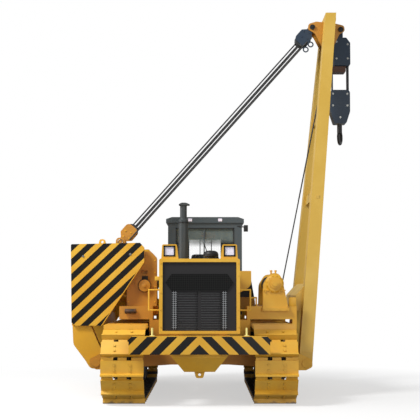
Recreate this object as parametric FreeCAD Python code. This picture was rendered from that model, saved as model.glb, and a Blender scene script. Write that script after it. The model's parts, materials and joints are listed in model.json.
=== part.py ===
import FreeCAD, Part
import math
import os

# Crawler pipelayer with a side boom, in millimetres. X is across the machine with the boom on
# the +X side, Y runs from the radiator (-Y) to the rear (+Y), and Z is up from the ground.

V = FreeCAD.Vector

# ---- running gear -------------------------------------------------------------------------
gauge = 2000.0
shoe_width = 560.0
shoe_gap = 8.0
shoe_plate = 20.0
grouser_height = 55.0
grouser_root = 40.0
grouser_tip = 20.0
grouser_lean = 6.0
link_pitch = 216.0
link_pairs = 38
link_height = 112.0
link_plate = 26.0
link_gap = 5.0
link_overlap = 30.0
rail_spacing = 120.0
pitch_radius = 390.0
track_shift = 54.0
first_shoe_lead = 60.0
roller_radius = 104.0
roller_count = 7
roller_gap = 12.0
carrier_radius = 80.0
carrier_shares = (-0.22, 0.24)
track_frame_width = 300.0
track_frame_plate = 34.0
track_frame_bottom = 330.0
carrier_clearance = 45.0
hub_radius = 95.0
rim_width = 220.0
rim_depth = 109.0
web_half = 26.0
flange_depth = 34.0
flange_width = 90.0
sprocket_teeth = 23
sprocket_width = 70.0
final_drive_radius = 215.0
drive_cap_radius = 190.0
drive_cap_depth = 96.0

# ---- hull, bumper and hood ----------------------------------------------------------------
hull_half = 390.0
hull_keel_half = 200.0
hull_bottom = 436.0
hull_chine = 680.0
hull_top = 940.0
hull_front = -1840.0
hull_rear = 1700.0
nose_rake = 150.0
tail_rake = 300.0
bumper_half = 905.0
bumper_bottom = 680.0
bumper_top = 915.0
bumper_chamfer = 42.0
bumper_plate = 40.0
bumper_standoff = 105.0
post_offset = 605.0
post_height = 105.0
post_radius = 13.0
post_foot = 36.0
tow_eye_drop = 86.0
tow_eye_radius = 19.0
tow_eye_plate = 40.0
drawbar_length = 360.0
drawbar_half = 130.0
drawbar_bottom = 700.0
drawbar_plate = 70.0
drawbar_hole_radius = 27.0
crossbar_front = -1160.0
crossbar_width = 200.0
crossbar_bottom = 490.0
crossbar_top = 655.0
pivot_shaft_radius = 85.0
pivot_shaft_y = 620.0
guard_half = 523.0
guard_top = 1910.0
guard_depth = 270.0
guard_face = 45.0
guard_front = -1890.0
grille_sheet = 8.0
grille_setback = 22.0
grille_band = 190.0
grille_slots = 16
grille_slot = 16.0
louvre_half = 286.0
column_half = 32.0
mesh_half = 440.0
mesh_shoulder = 362.0
mesh_height = 220.0
mesh_rise = 12.0
core_gap = 60.0
hood_half = 455.0
hood_drop = 12.0
hood_skin = 14.0
hood_rear = 330.0
hood_edge_radius = 70.0
engine_half = 300.0
engine_length = 1250.0
engine_gap = 160.0
engine_headroom = 230.0
stack_x = -232.0
stack_y = -900.0
stack_lower_radius = 68.0
stack_upper_radius = 48.0
stack_step_z = 2480.0
stack_top = 2690.0
stack_collar = 26.0
stack_wall = 6.0
precleaner_x = 150.0
precleaner_y = -1250.0
lamp_inner = 297.0
lamp_width = 188.0
lamp_flare = 22.0
lamp_height = 186.0
lamp_depth = 150.0
lamp_setback = 30.0
lens_width = 138.0
lens_height = 114.0
lens_recess = 24.0
lens_thickness = 16.0

# ---- platform and cab ---------------------------------------------------------------------
deck_bottom = 1100.0
deck_plate = 30.0
deck_half = 640.0
deck_front = 345.0
deck_rear = 1900.0
cab_left = -500.0
cab_front = 420.0
cab_rear = 1540.0
cab_wall = 55.0
cab_eaves = 2540.0
roof_height = 90.0
roof_overhang = 30.0
window_bottom = 1660.0
window_top = 2460.0
window_margin = 70.0
window_corner = 30.0
rear_window_half = 268.0
rear_window_bottom = 1880.0
rear_window_top = 2350.0
glass_thickness = 8.0
door_sill = 170.0
door_front = 520.0
door_rear = 1250.0
door_gap = 8.0
door_glass_sill = 300.0
hinge_radius = 13.0
hinge_length = 90.0
hinge_stand = 15.0
seat_y = 900.0
seat_half = 240.0
seat_height = 340.0
seat_length = 370.0
cushion_depth = 130.0
backrest_height = 550.0
console_half = 330.0
console_depth = 160.0
console_height = 510.0
lever_length = 150.0
side_tank_out = 745.0
side_tank_top = 1785.0
side_tank_bottom = 1400.0
side_tank_front = -330.0
side_tank_rear = 240.0
locker_width = 190.0
fuel_tank_gap = 40.0
fuel_tank_top = 1790.0
fuel_neck_radius = 46.0
rail_radius = 11.0
rail_depth = 142.0
rail_low = 1240.0
rail_high = 1506.0
rail_y = -1700.0
side_rail_z = 1400.0
side_rail_offset = 253.0

# ---- side frames, winches and tower -------------------------------------------------------
beam_bottom = 1100.0
beam_top = 1280.0
portal_half = 170.0
portal_leg_bottom = 390.0
inner_wall_x = 700.0
leg_plate = 60.0
leg_clearance = 5.0
lug_plate = 35.0
lug_gap = 10.0
lug_radius = 95.0
pin_head = 14.0
tie_bottom = 430.0
tie_top = 570.0
winch_rail_depth = 120.0
winch_rail_width = 120.0
hoist_rail_spacing = 300.0
hoist_drum_offset = 38.0
hoist_drum_z = 1590.0
hoist_front = -990.0
hoist_housing = 160.0
hoist_rear = 245.0
hoist_housing_bottom = 1215.0
dome_radius = 128.0
hoist_drum_radius = 100.0
hoist_flange_radius = 118.0
luff_drum_offset = -180.0
luff_drum_z = 1600.0
luff_front = -790.0
luff_housing = 150.0
luff_housing_half = 210.0
luff_housing_rise = 450.0
tower_bend = 670.0
luff_rear = 480.0
luff_drum_radius = 150.0
luff_flange_radius = 190.0
rear_plate = 60.0
breather_height = 62.0
breather_radius = 12.0

# ---- boom ---------------------------------------------------------------------------------
boom_foot_offset = 125.0
boom_foot_z = 490.0
boom_middle_y = 140.0
foot_pin_radius = 40.0
pin_fit = 0.05
foot_spacing = 1850.0
head_spacing = 500.0
boom_lean = 465.0
head_z = 5400.0
leg_depth_foot = 250.0
leg_width_foot = 186.0
leg_depth_head = 230.0
leg_width_head = 156.0
leg_start = 150.0
head_rise = 260.0
cross_bottom = 1210.0
cross_shoulder = 1430.0
cross_top = 1600.0
brace_heights = (2900.0, 4100.0)
brace_half = 70.0
badge_z = 2845.0
badge_half = 24.0
cheek_gap = 210.0
cheek_plate = 24.0
cheek_drop = 260.0
ear_radius = 62.0
ear_pin_radius = 24.0
luff_ear_back = 235.0
luff_ear_rise = 90.0
load_ear_out = 195.0
load_ear_rise = 55.0

# ---- ropes and blocks ---------------------------------------------------------------------
rope_radius = 9.5
anchor_offset = 200.0
luff_anchor_z = 2230.0
luff_strand = 3780.0
hoist_strand_lower = 2720.0
hoist_strand_upper = 2560.0
rope_lane = 24.0
rope_offset = 80.0
becket_offset = 26.0
socket_length = 90.0
head_sheave_radius = 80.0
head_sheave_drop = 20.0
block_length = 200.0
block_plate = 16.0
block_side_gap = 12.0
sheave_width = 22.0
load_block_drop = 640.0
load_body_drop = 540.0
falls_length = 275.0
hook_block_height = 510.0
hook_block_half = 150.0
shank_radius = 32.0
hook_bowl_drop = 205.0
hook_bowl_radius = 92.0
hook_tip_angle = -205.0
hook_turn = 68.0
hook_section = (
    (-34.0, -22.0), (-34.0, 22.0), (-22.0, 32.0), (24.0, 22.0),
    (34.0, 10.0), (34.0, -10.0), (24.0, -22.0), (-22.0, -32.0))

# ---- counterweight ------------------------------------------------------------------------
weight_pivot_offset = 95.0
weight_pivot_z = 500.0
weight_front = -920.0
weight_end_plate = 60.0
weight_pack = 424.0
weight_slabs = 4
weight_slab_gap = 8.0
weight_overhang = 364.0
weight_width = 1025.0
weight_bottom = 1010.0
weight_top = 2165.0
weight_neck = 270.0
weight_slant = 583.0
weight_inset = 16.0
tie_bar_radius = 32.0
tie_bar_offset = 600.0
arm_width = 180.0
cylinder_y = -130.0
cylinder_foot_z = 1340.0
cylinder_eye_offset = 155.0
cylinder_eye_z = 1400.0
barrel_radius = 52.0
piston_rod_radius = 27.0
piston_rod_start = 75.0
cylinder_pin_radius = 20.0
eye_radius = 42.0
lug_thickness = 22.0
lug_spread = 36.0
bracket_half = 42.0


# ---- shape helpers ------------------------------------------------------------------------
def rounded_wire(corners, place):
    """Closed wire through (a, b) or (a, b, radius) corners, with the radius as a true arc."""
    points = [place(corner[0], corner[1]) for corner in corners]
    radii = [corner[2] if len(corner) > 2 else 0.0 for corner in corners]
    starts = []
    ends = []
    middles = []
    for i, corner in enumerate(points):
        to_last = points[i - 1].sub(corner).normalize()
        to_next = points[(i + 1) % len(points)].sub(corner).normalize()
        half = to_last.getAngle(to_next) / 2.0
        run = radii[i] / math.tan(half) if radii[i] else 0.0
        starts.append(corner.add(V(to_last).multiply(run)))
        ends.append(corner.add(V(to_next).multiply(run)))
        inward = to_last.add(to_next)
        if radii[i]:
            inward.normalize()
            middles.append(corner.add(inward.multiply(radii[i] / math.sin(half) - radii[i])))
        else:
            middles.append(None)
    edges = []
    for i in range(len(points)):
        if middles[i]:
            edges.append(Part.Arc(starts[i], middles[i], ends[i]).toShape())
        following = starts[(i + 1) % len(points)]
        if ends[i].distanceToPoint(following) > 1e-6:
            edges.append(Part.LineSegment(ends[i], following).toShape())
    return Part.Wire(edges)


def slab_xz(corners, y_from, y_to):
    """Plate with its outline in X and Z, as thick as y_from to y_to."""
    wire = rounded_wire(corners, lambda a, b: V(a, y_from, b))
    return Part.Face(wire).extrude(V(0, y_to - y_from, 0))


def slab_yz(corners, x_from, x_to):
    """Plate with its outline in Y and Z."""
    wire = rounded_wire(corners, lambda a, b: V(x_from, a, b))
    return Part.Face(wire).extrude(V(x_to - x_from, 0, 0))


def slab_xy(corners, z_from, z_to):
    """Plate with its outline in X and Y."""
    wire = rounded_wire(corners, lambda a, b: V(a, b, z_from))
    return Part.Face(wire).extrude(V(0, 0, z_to - z_from))


def block(x_from, x_to, y_from, y_to, z_from, z_to):
    """Rectangular block between two corners."""
    return Part.makeBox(x_to - x_from, y_to - y_from, z_to - z_from, V(x_from, y_from, z_from))


def rod(start, end, radius):
    """Round bar from one point to another."""
    along = end.sub(start)
    return Part.makeCylinder(radius, along.Length, start, along)


def pipe_run(points, radius):
    """Bent tube of solid section: straight bars with balls at the bends."""
    bars = [rod(a, b, radius) for a, b in zip(points, points[1:])]
    knees = [Part.makeSphere(radius, p) for p in points[1:-1]]
    return fuse(bars + knees)


def fuse(shapes):
    """One solid from touching shapes, with the seams between flush faces removed."""
    if len(shapes) == 1:
        return shapes[0]
    return shapes[0].multiFuse(shapes[1:]).removeSplitter()


def cut(shape, tools):
    """A shape less one or more others."""
    for tool in tools:
        shape = shape.cut(tool)
    return shape


def bundle(shapes):
    """Several solids of one sub-part that don't touch."""
    solids = []
    for shape in shapes:
        solids.extend(shape.Solids)
    return Part.makeCompound(solids)


def flipped(shape):
    """The same shape on the other side of the machine's centre plane."""
    return shape.mirror(V(0, 0, 0), V(1, 0, 0))


def both_sides(shape):
    """The same piece on both sides of the machine."""
    return bundle([shape, flipped(shape)])


def moved(shape, x=0.0, y=0.0, z=0.0):
    """A copy shifted along the axes."""
    copy = shape.copy()
    copy.translate(V(x, y, z))
    return copy


def wheel(profile, x_middle, y, z):
    """Body of revolution about an axle along X, from (offset across, radius) corners."""
    wire = rounded_wire(profile, lambda a, r: V(x_middle + a, y, z + r))
    return Part.Face(wire).revolve(V(x_middle, y, z), V(1, 0, 0), 360)


# ---- places worked out from the sizes -----------------------------------------------------
axle_z = pitch_radius + grouser_height + shoe_plate + link_height / 2.0
straight_run = (link_pitch * link_pairs - 2.0 * math.pi * pitch_radius) / 2.0
idler_y = track_shift - straight_run / 2.0
sprocket_y = track_shift + straight_run / 2.0
track_x = gauge / 2.0
shoe_outer_x = track_x + shoe_width / 2.0
track_inside = pitch_radius - link_height / 2.0
roller_length = track_frame_width - 2.0 * track_frame_plate
leg_inner_x = shoe_outer_x + leg_clearance
leg_outer_x = leg_inner_x + leg_plate
boom_foot_x = leg_outer_x + boom_foot_offset
head_x = boom_foot_x + boom_lean
luff_ear_x = head_x - luff_ear_back
luff_ear_z = head_z + luff_ear_rise
load_ear_x = head_x + load_ear_out
load_ear_z = head_z + load_ear_rise
luff_anchor_x = -track_x - anchor_offset
hoist_drum_x = track_x + hoist_drum_offset
luff_drum_x = -track_x - luff_drum_offset
weight_pivot_x = -leg_outer_x - weight_pivot_offset
weight_outer = weight_pivot_x - weight_overhang
weight_inner = weight_outer + weight_width
cylinder_foot_x = -deck_half
cylinder_eye_x = weight_pivot_x + cylinder_eye_offset
track_frame_top = axle_z + track_inside - 2.0 * carrier_radius - carrier_clearance
tower_inner_x = luff_anchor_x + 80.0
side_rail_x = hoist_drum_x - side_rail_offset
locker_out = deck_half + locker_width
drawbar_hole_y = hull_rear + drawbar_length - 90.0
cab_right = deck_half
sill_z = deck_bottom + deck_plate + door_sill
front_leg_y = boom_middle_y - foot_spacing / 2.0
rear_leg_y = boom_middle_y + foot_spacing / 2.0
portal_ys = (front_leg_y, rear_leg_y)
deck_top = deck_bottom + deck_plate
luff_ear = V(luff_ear_x, boom_middle_y, luff_ear_z)
load_ear = V(load_ear_x, boom_middle_y, load_ear_z)
luff_anchor = V(luff_anchor_x, boom_middle_y, luff_anchor_z)
head_sheave = V(head_x - 20.0, boom_middle_y, head_z - head_sheave_drop)
cylinder_foot = V(cylinder_foot_x, cylinder_y, cylinder_foot_z)
cylinder_eye = V(cylinder_eye_x, cylinder_y, cylinder_eye_z)
hook_block_top = load_ear_z - load_block_drop - falls_length
hook_block_low = hook_block_top - hook_block_height
hook_x = load_ear_x - 10.0
hook_bowl_z = hook_block_low - hook_bowl_drop
hook_neck_z = hook_block_low - 20.0


def crossing_line(low, low_radius, high, high_radius):
    """Ends of a rope that leaves one drum on its +X side and meets a higher one on its -X side."""
    between = high.sub(low)
    lean = math.atan2(between.z, between.x)
    lean += math.asin((low_radius + high_radius) / between.Length)
    left = V(-math.sin(lean), 0, math.cos(lean))
    return low.sub(V(left).multiply(low_radius)), high.add(V(left).multiply(high_radius))


hoist_drum = V(hoist_drum_x, boom_middle_y, hoist_drum_z)
hoist_exit, hoist_top = crossing_line(
    hoist_drum, hoist_drum_radius + rope_radius, head_sheave, head_sheave_radius + rope_radius)


# ---- tracks and their wheels --------------------------------------------------------------
def track_station(distance):
    """Point, direction of travel and outward direction on the pitch line at a distance."""
    arc = math.pi * pitch_radius
    distance = distance % (2.0 * (arc + straight_run))
    if distance < arc:
        angle = distance / pitch_radius
        out = V(0, -math.sin(angle), -math.cos(angle))
        middle = V(0, idler_y, axle_z)
    elif distance < arc + straight_run:
        out = V(0, 0, 1)
        middle = V(0, idler_y + distance - arc, axle_z)
    elif distance < 2.0 * arc + straight_run:
        angle = (distance - arc - straight_run) / pitch_radius
        out = V(0, math.sin(angle), math.cos(angle))
        middle = V(0, sprocket_y, axle_z)
    else:
        out = V(0, 0, -1)
        middle = V(0, sprocket_y - (distance - 2.0 * arc - straight_run), axle_z)
    point = middle.add(V(out).multiply(pitch_radius))
    travel = V(0, out.z, -out.y)
    return point, travel, out


def shoe_with_links(number):
    """One grouser shoe and its two chain links, as one forged and bolted piece."""
    point, travel, out = track_station(number * link_pitch - first_shoe_lead)

    def place(x):
        def at(a, b):
            offset = V(travel).multiply(a).add(V(out).multiply(b))
            return point.add(offset).add(V(x, 0, 0))
        return at

    half = (link_pitch - shoe_gap) / 2.0
    seat = link_height / 2.0
    face = seat + shoe_plate
    shoe_profile = [
        (-half, seat),
        (half, seat),
        (half, face),
        (-half + grouser_root, face),
        (-half + grouser_tip + grouser_lean, face + grouser_height),
        (-half + grouser_lean, face + grouser_height),
        (-half, face),
    ]
    reach = link_pitch / 2.0 + link_overlap
    link_profile = [
        (-reach, 6.0),
        (-reach + 34.0, -seat),
        (reach - 34.0, -seat),
        (reach, 6.0),
        (reach - 46.0, seat),
        (-reach + 46.0, seat),
    ]
    shoe_wire = rounded_wire(shoe_profile, place(-shoe_width / 2.0))
    pieces = [Part.Face(shoe_wire).extrude(V(shoe_width, 0, 0))]
    step = (link_plate + link_gap) * (number % 2)
    for side in (-1, 1):
        inner = side * (rail_spacing / 2.0 + step)
        link_wire = rounded_wire(link_profile, place(inner))
        pieces.append(Part.Face(link_wire).extrude(V(side * link_plate, 0, 0)))
    return pieces[0].multiFuse(pieces[1:])


def make_track():
    """Closed loop of shoes and links, one solid for each shoe."""
    return bundle([shoe_with_links(i) for i in range(link_pairs)])


def make_idler():
    """Front idler: a rim that the links run on, a guide flange, a dished web and a hub."""
    flange = track_inside + flange_depth
    half = rim_width / 2.0
    profile = [
        (-half, track_inside - rim_depth),
        (-half, track_inside),
        (-flange_width / 2.0, track_inside),
        (-flange_width / 2.0 + 8.0, flange),
        (flange_width / 2.0 - 8.0, flange),
        (flange_width / 2.0, track_inside),
        (half, track_inside),
        (half, track_inside - rim_depth),
        (web_half, track_inside - rim_depth - 20.0),
        (web_half, hub_radius + 20.0),
        (roller_length / 2.0, hub_radius),
        (roller_length / 2.0, 0.0),
        (-roller_length / 2.0, 0.0),
        (-roller_length / 2.0, hub_radius),
        (-web_half, hub_radius + 20.0),
        (-web_half, track_inside - rim_depth - 20.0),
    ]
    return wheel(profile, track_x, idler_y, axle_z)


def make_sprocket():
    """Toothed rim between the chain links, bolted to the final drive."""
    root = track_inside - 6.0
    tip = pitch_radius + 8.0
    step = 2.0 * math.pi / sprocket_teeth
    corners = []
    for tooth in range(sprocket_teeth):
        for share, radius in ((-0.30, root), (-0.12, tip), (0.12, tip), (0.30, root)):
            angle = (tooth + share) * step
            corners.append((sprocket_y + radius * math.sin(angle), axle_z + radius * math.cos(angle)))
    return slab_yz(corners, track_x - sprocket_width / 2.0, track_x + sprocket_width / 2.0)


def roller_places():
    """Y positions of the lower rollers, evenly spaced between the end wheels."""
    first = idler_y + track_inside + roller_radius + roller_gap
    last = sprocket_y - track_inside - roller_radius - roller_gap
    step = (last - first) / (roller_count - 1)
    return [first + step * i for i in range(roller_count)]


def make_rollers():
    """Lower rollers on the chain's rails, and two carrier rollers under the upper run."""
    low = axle_z - pitch_radius + link_height / 2.0 + roller_radius
    high = axle_z + track_inside - carrier_radius
    half = roller_length / 2.0
    pieces = []
    for y in roller_places():
        pieces.append(rod(V(track_x - half, y, low), V(track_x + half, y, low), roller_radius))
    for share in carrier_shares:
        y = track_shift + share * straight_run
        pieces.append(rod(V(track_x - half, y, high), V(track_x + half, y, high), carrier_radius))
    return bundle(pieces)


def make_track_frame():
    """Box beam with a fork for the idler, roller saddles and carrier brackets."""
    half = track_frame_width / 2.0
    front = idler_y - hub_radius - 30.0
    rear = sprocket_y - pitch_radius - 40.0
    nose = track_frame_bottom + 60.0
    side = [
        (front, nose, 40.0),
        (front, track_frame_top, 60.0),
        (rear - 60.0, track_frame_top, 40.0),
        (rear, track_frame_top - 90.0),
        (rear, track_frame_bottom + 40.0),
        (rear - 80.0, track_frame_bottom),
        (front + 200.0, track_frame_bottom),
    ]
    beam = slab_yz(side, track_x - half, track_x + half)
    fork_rear = idler_y + track_inside + flange_depth + 40.0
    inner = half - track_frame_plate
    top = track_frame_top + 10.0
    fork = block(track_x - inner, track_x + inner, front - 10.0, fork_rear, nose - 100.0, top)
    low = axle_z - pitch_radius + link_height / 2.0 + roller_radius
    pocket_y = (roller_places()[0] - roller_radius - 8.0, roller_places()[-1] + roller_radius + 8.0)
    pocket = block(track_x - inner, track_x + inner, pocket_y[0], pocket_y[1], 0.0, low + roller_radius + 8.0)
    saddles = []
    for y in roller_places():
        hanger = [(y - 70.0, track_frame_bottom), (y - 34.0, low - 46.0, 20.0),
                  (y + 34.0, low - 46.0, 20.0), (y + 70.0, track_frame_bottom)]
        for sign in (-1, 1):
            edge = track_x + sign * half
            saddles.append(slab_yz(hanger, edge, edge - sign * (half - roller_length / 2.0)))
    high = axle_z + track_inside - carrier_radius
    for share in carrier_shares:
        y = track_shift + share * straight_run
        post = [(y - 60.0, track_frame_top), (y - 34.0, high + 20.0, 24.0),
                (y + 34.0, high + 20.0, 24.0), (y + 60.0, track_frame_top)]
        edge = track_x - half
        saddles.append(slab_yz(post, edge, edge + (half - roller_length / 2.0)))
    return fuse([cut(beam, [fork, pocket])] + saddles)


def make_final_drive():
    """Final drive case from the hull's side to the sprocket, stepped down at its outer end."""
    inner_end = hull_half - track_x
    face = -sprocket_width / 2.0
    profile = [
        (inner_end, 0.0),
        (inner_end, final_drive_radius - 30.0),
        (inner_end + 180.0, final_drive_radius - 30.0),
        (inner_end + 230.0, final_drive_radius),
        (face - 24.0, final_drive_radius),
        (face, final_drive_radius - 24.0),
        (face, 0.0),
    ]
    return wheel(profile, track_x, sprocket_y, axle_z)


def make_drive_cap():
    """Domed cap over the sprocket's outer face."""
    face = sprocket_width / 2.0
    outer = face + drive_cap_depth
    profile = [
        (face, 0.0),
        (face, drive_cap_radius),
        (face + 0.35 * drive_cap_depth, drive_cap_radius),
        (face + 0.6 * drive_cap_depth, 0.88 * drive_cap_radius),
        (outer, 0.63 * drive_cap_radius),
        (outer, 0.0),
    ]
    return wheel(profile, track_x, sprocket_y, axle_z)


# ---- hull and front -----------------------------------------------------------------------
def make_hull():
    """Main frame with a keel-shaped belly guard, raked at its nose."""
    section = [
        (-hull_half, hull_top),
        (-hull_half, hull_chine),
        (-hull_keel_half, hull_bottom),
        (hull_keel_half, hull_bottom),
        (hull_half, hull_chine),
        (hull_half, hull_top),
    ]
    hull = slab_xz(section, hull_front, hull_rear)
    rake = [
        (hull_front - 10.0, hull_bottom - 10.0),
        (hull_front + nose_rake, hull_bottom - 10.0),
        (hull_front - 10.0, hull_chine - 40.0),
    ]
    tail = [
        (hull_rear + 10.0, hull_bottom - 10.0),
        (hull_rear - tail_rake, hull_bottom - 10.0),
        (hull_rear + 10.0, hull_chine - 20.0),
    ]
    reach = hull_half + 10.0
    return cut(hull, [slab_yz(rake, -reach, reach), slab_yz(tail, -reach, reach)])


def make_bumper():
    """Bumper plate with cut corners and a rim, on two stand-off boxes, with marker posts."""
    front = hull_front - bumper_standoff - bumper_plate
    outline = [
        (-bumper_half, bumper_bottom),
        (bumper_half, bumper_bottom),
        (bumper_half, bumper_top - bumper_chamfer),
        (bumper_half - bumper_chamfer, bumper_top),
        (-bumper_half + bumper_chamfer, bumper_top),
        (-bumper_half, bumper_top - bumper_chamfer),
    ]
    pieces = [slab_xz(outline, front, front + bumper_plate)]
    middle = front + bumper_plate / 2.0
    for side in (-1, 1):
        x = side * (hull_half - 90.0)
        pieces.append(block(x - 70.0, x + 70.0, middle, hull_front, bumper_bottom + 20.0, bumper_top - 20.0))
        x = side * post_offset
        pieces.append(rod(V(x, middle, bumper_top), V(x, middle, bumper_top + post_height), post_radius))
        near = front + 2.0
        pieces.append(block(x - 30.0, x + 30.0, near, near + post_foot, bumper_top, bumper_top + 10.0))
    return fuse(pieces)


def make_front_hitch():
    """Tow eye hanging under the raked nose."""
    y = hull_front + nose_rake + 60.0
    low = hull_bottom - tow_eye_drop
    plate = [(-70.0, hull_bottom), (70.0, hull_bottom), (48.0, low, 30.0), (-48.0, low, 30.0)]
    hole_z = (hull_bottom + low) / 2.0
    hole = rod(V(0, y - 1.0, hole_z), V(0, y + tow_eye_plate + 1.0, hole_z), tow_eye_radius)
    return slab_xz(plate, y, y + tow_eye_plate).cut(hole)


def make_crossbar(hull):
    """Equaliser bar and rear pivot shaft between the hull and the two track frames."""
    reach = track_x - track_frame_width / 2.0
    bar = [
        (-reach, crossbar_bottom - 30.0),
        (-reach, crossbar_top - 30.0),
        (-hull_half, crossbar_top),
        (hull_half, crossbar_top),
        (reach, crossbar_top - 30.0),
        (reach, crossbar_bottom - 30.0),
        (hull_half, crossbar_bottom),
        (-hull_half, crossbar_bottom),
    ]
    equaliser = slab_xz(bar, crossbar_front, crossbar_front + crossbar_width)
    shaft = rod(V(-reach, pivot_shaft_y, axle_z), V(reach, pivot_shaft_y, axle_z), pivot_shaft_radius)
    return bundle([equaliser.cut(hull), shaft.cut(hull)])


def make_radiator_guard():
    """Deep frame round the grille, closed at its sides and top."""
    outline = [
        (-guard_half, hull_top),
        (guard_half, hull_top),
        (guard_half, guard_top, 26.0),
        (-guard_half, guard_top, 26.0),
    ]
    hole = [
        (-guard_half + guard_face, hull_top + guard_face - 8.0),
        (guard_half - guard_face, hull_top + guard_face - 8.0),
        (guard_half - guard_face, guard_top - guard_face, hood_skin),
        (-guard_half + guard_face, guard_top - guard_face, hood_skin),
    ]
    shell = slab_xz(outline, guard_front, guard_front + guard_depth)
    return shell.cut(slab_xz(hole, guard_front - 1.0, guard_front + guard_depth + 1.0))


def make_grille():
    """Pressed sheet in the guard: a bare band, a raised six-sided mesh panel, louvres and two side strips."""
    half = guard_half - guard_face
    low = hull_top + guard_face - 8.0
    high = guard_top - guard_face
    y = guard_front + grille_setback
    outline = [(-half, low), (half, low), (half, high, hood_skin), (-half, high, hood_skin)]
    sheet = slab_xz(outline, y, y + grille_sheet)
    mesh_top = high - grille_band + 36.0
    mesh_low = mesh_top - mesh_height
    mesh = [
        (-mesh_shoulder, mesh_top),
        (mesh_shoulder, mesh_top),
        (mesh_half, (mesh_top + mesh_low) / 2.0),
        (mesh_shoulder, mesh_low),
        (-mesh_shoulder, mesh_low),
        (-mesh_half, (mesh_top + mesh_low) / 2.0),
    ]
    pieces = [sheet, slab_xz(mesh, y - mesh_rise, y)]
    for side in (-1, 1):
        x = side * (louvre_half + 6.0 + column_half)
        pieces.append(block(x - column_half, x + column_half, y - mesh_rise / 2.0, y, low + 20.0, mesh_low))
    step = (mesh_low - 10.0 - low) / grille_slots
    near = y - 1.0
    far = y + grille_sheet + 1.0
    slots = []
    for row in range(grille_slots):
        z = low + step * (row + 0.5)
        for side in (-1, 1):
            ends = sorted((side * 20.0, side * louvre_half))
            slots.append(block(ends[0], ends[1], near, far, z - grille_slot / 2.0, z + grille_slot / 2.0))
    return fuse(pieces).cut(bundle(slots))


def make_radiator():
    """Cooling core that fills the guard behind the grille."""
    half = guard_half - guard_face
    low = hull_top + guard_face - 8.0
    high = guard_top - guard_face
    y = guard_front + grille_setback + grille_sheet + core_gap
    outline = [(-half, low), (half, low), (half, high, hood_skin), (-half, high, hood_skin)]
    return slab_xz(outline, y, guard_front + guard_depth)


def make_hood():
    """Engine enclosure: a folded skin and a rear bulkhead over the engine, on the hull's top."""
    front = guard_front + guard_depth
    outer = [
        (-hood_half, hull_top),
        (hood_half, hull_top),
        (hood_half, guard_top - hood_drop, hood_edge_radius),
        (-hood_half, guard_top - hood_drop, hood_edge_radius),
    ]
    inner_half = hood_half - hood_skin
    inner = [
        (-inner_half, hull_top - 1.0),
        (inner_half, hull_top - 1.0),
        (inner_half, guard_top - hood_drop - hood_skin, hood_edge_radius - hood_skin),
        (-inner_half, guard_top - hood_drop - hood_skin, hood_edge_radius - hood_skin),
    ]
    return slab_xz(outer, front, hood_rear).cut(slab_xz(inner, front - 1.0, hood_rear - hood_skin))


def make_engine():
    """Engine as one plain block on the hull."""
    front = guard_front + guard_depth + engine_gap
    top = guard_top - engine_headroom
    return block(-engine_half, engine_half, front, front + engine_length, hull_top, top)


def make_stack():
    """Exhaust: wide lower pipe, narrower upper pipe and a hinged rain cap."""
    base = V(stack_x, stack_y, guard_top - hood_drop)
    step = V(stack_x, stack_y, stack_step_z)
    neck = V(stack_x, stack_y, stack_step_z + stack_collar)
    top = V(stack_x, stack_y, stack_top)
    lower = rod(base, step, stack_lower_radius)
    collar = Part.makeCone(stack_lower_radius, stack_upper_radius, stack_collar, step)
    bore = rod(neck.add(V(0, 0, 30.0)), top.add(V(0, 0, 1.0)), stack_upper_radius - stack_wall)
    lid = [
        (stack_x - 66.0, stack_top + 10.0),
        (stack_x - 60.0, stack_top),
        (stack_x + 84.0, stack_top),
        (stack_x + 88.0, stack_top + 12.0),
        (stack_x + 40.0, stack_top + 34.0, 60.0),
        (stack_x - 30.0, stack_top + 36.0, 60.0),
    ]
    cap = slab_xz(lid, stack_y - 62.0, stack_y + 62.0)
    return fuse([lower, collar, rod(neck, top, stack_upper_radius).cut(bore), cap])


def make_precleaner():
    """Low domed air intake on the hood."""
    base = V(precleaner_x, precleaner_y, guard_top - hood_drop)
    profile = [(0.0, 0.0), (72.0, 0.0), (72.0, 60.0), (104.0, 66.0),
               (104.0, 96.0), (92.0, 122.0), (60.0, 140.0), (0.0, 146.0)]
    wire = rounded_wire(profile, lambda r, h: base.add(V(r, 0, h)))
    return Part.Face(wire).revolve(base, V(0, 0, 1), 360)


def lens_outline(side, grow):
    """Rounded rectangle of a headlamp's lens, grown all round."""
    x = side * (lamp_inner + lamp_width / 2.0)
    z = guard_top + lamp_height / 2.0 + 6.0
    half_x = lens_width / 2.0 + grow
    half_z = lens_height / 2.0 + grow
    radius = 20.0 + grow
    return [
        (x - half_x, z - half_z, radius),
        (x + half_x, z - half_z, radius),
        (x + half_x, z + half_z, radius),
        (x - half_x, z + half_z, radius),
    ]


def make_headlamps():
    """Two box lamps, wider at their foot, with deep lens recesses, on the guard's top."""
    front = guard_front + lamp_setback
    lamps = []
    for side in (-1, 1):
        inner = side * lamp_inner
        outer = side * (lamp_inner + lamp_width)
        outline = [
            (inner - side * lamp_flare, guard_top),
            (outer + side * 12.0, guard_top),
            (outer, guard_top + lamp_height, 18.0),
            (inner, guard_top + lamp_height, 18.0),
        ]
        body = slab_xz(outline, front, front + lamp_depth)
        lamps.append(body.cut(slab_xz(lens_outline(side, 0.0), front - 1.0, front + lens_recess)))
    return bundle(lamps)


def make_lamp_lenses():
    """Lenses seated in the lamps' recesses."""
    back = guard_front + lamp_setback + lens_recess
    return bundle([slab_xz(lens_outline(side, 0.0), back - lens_thickness, back) for side in (-1, 1)])


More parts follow.
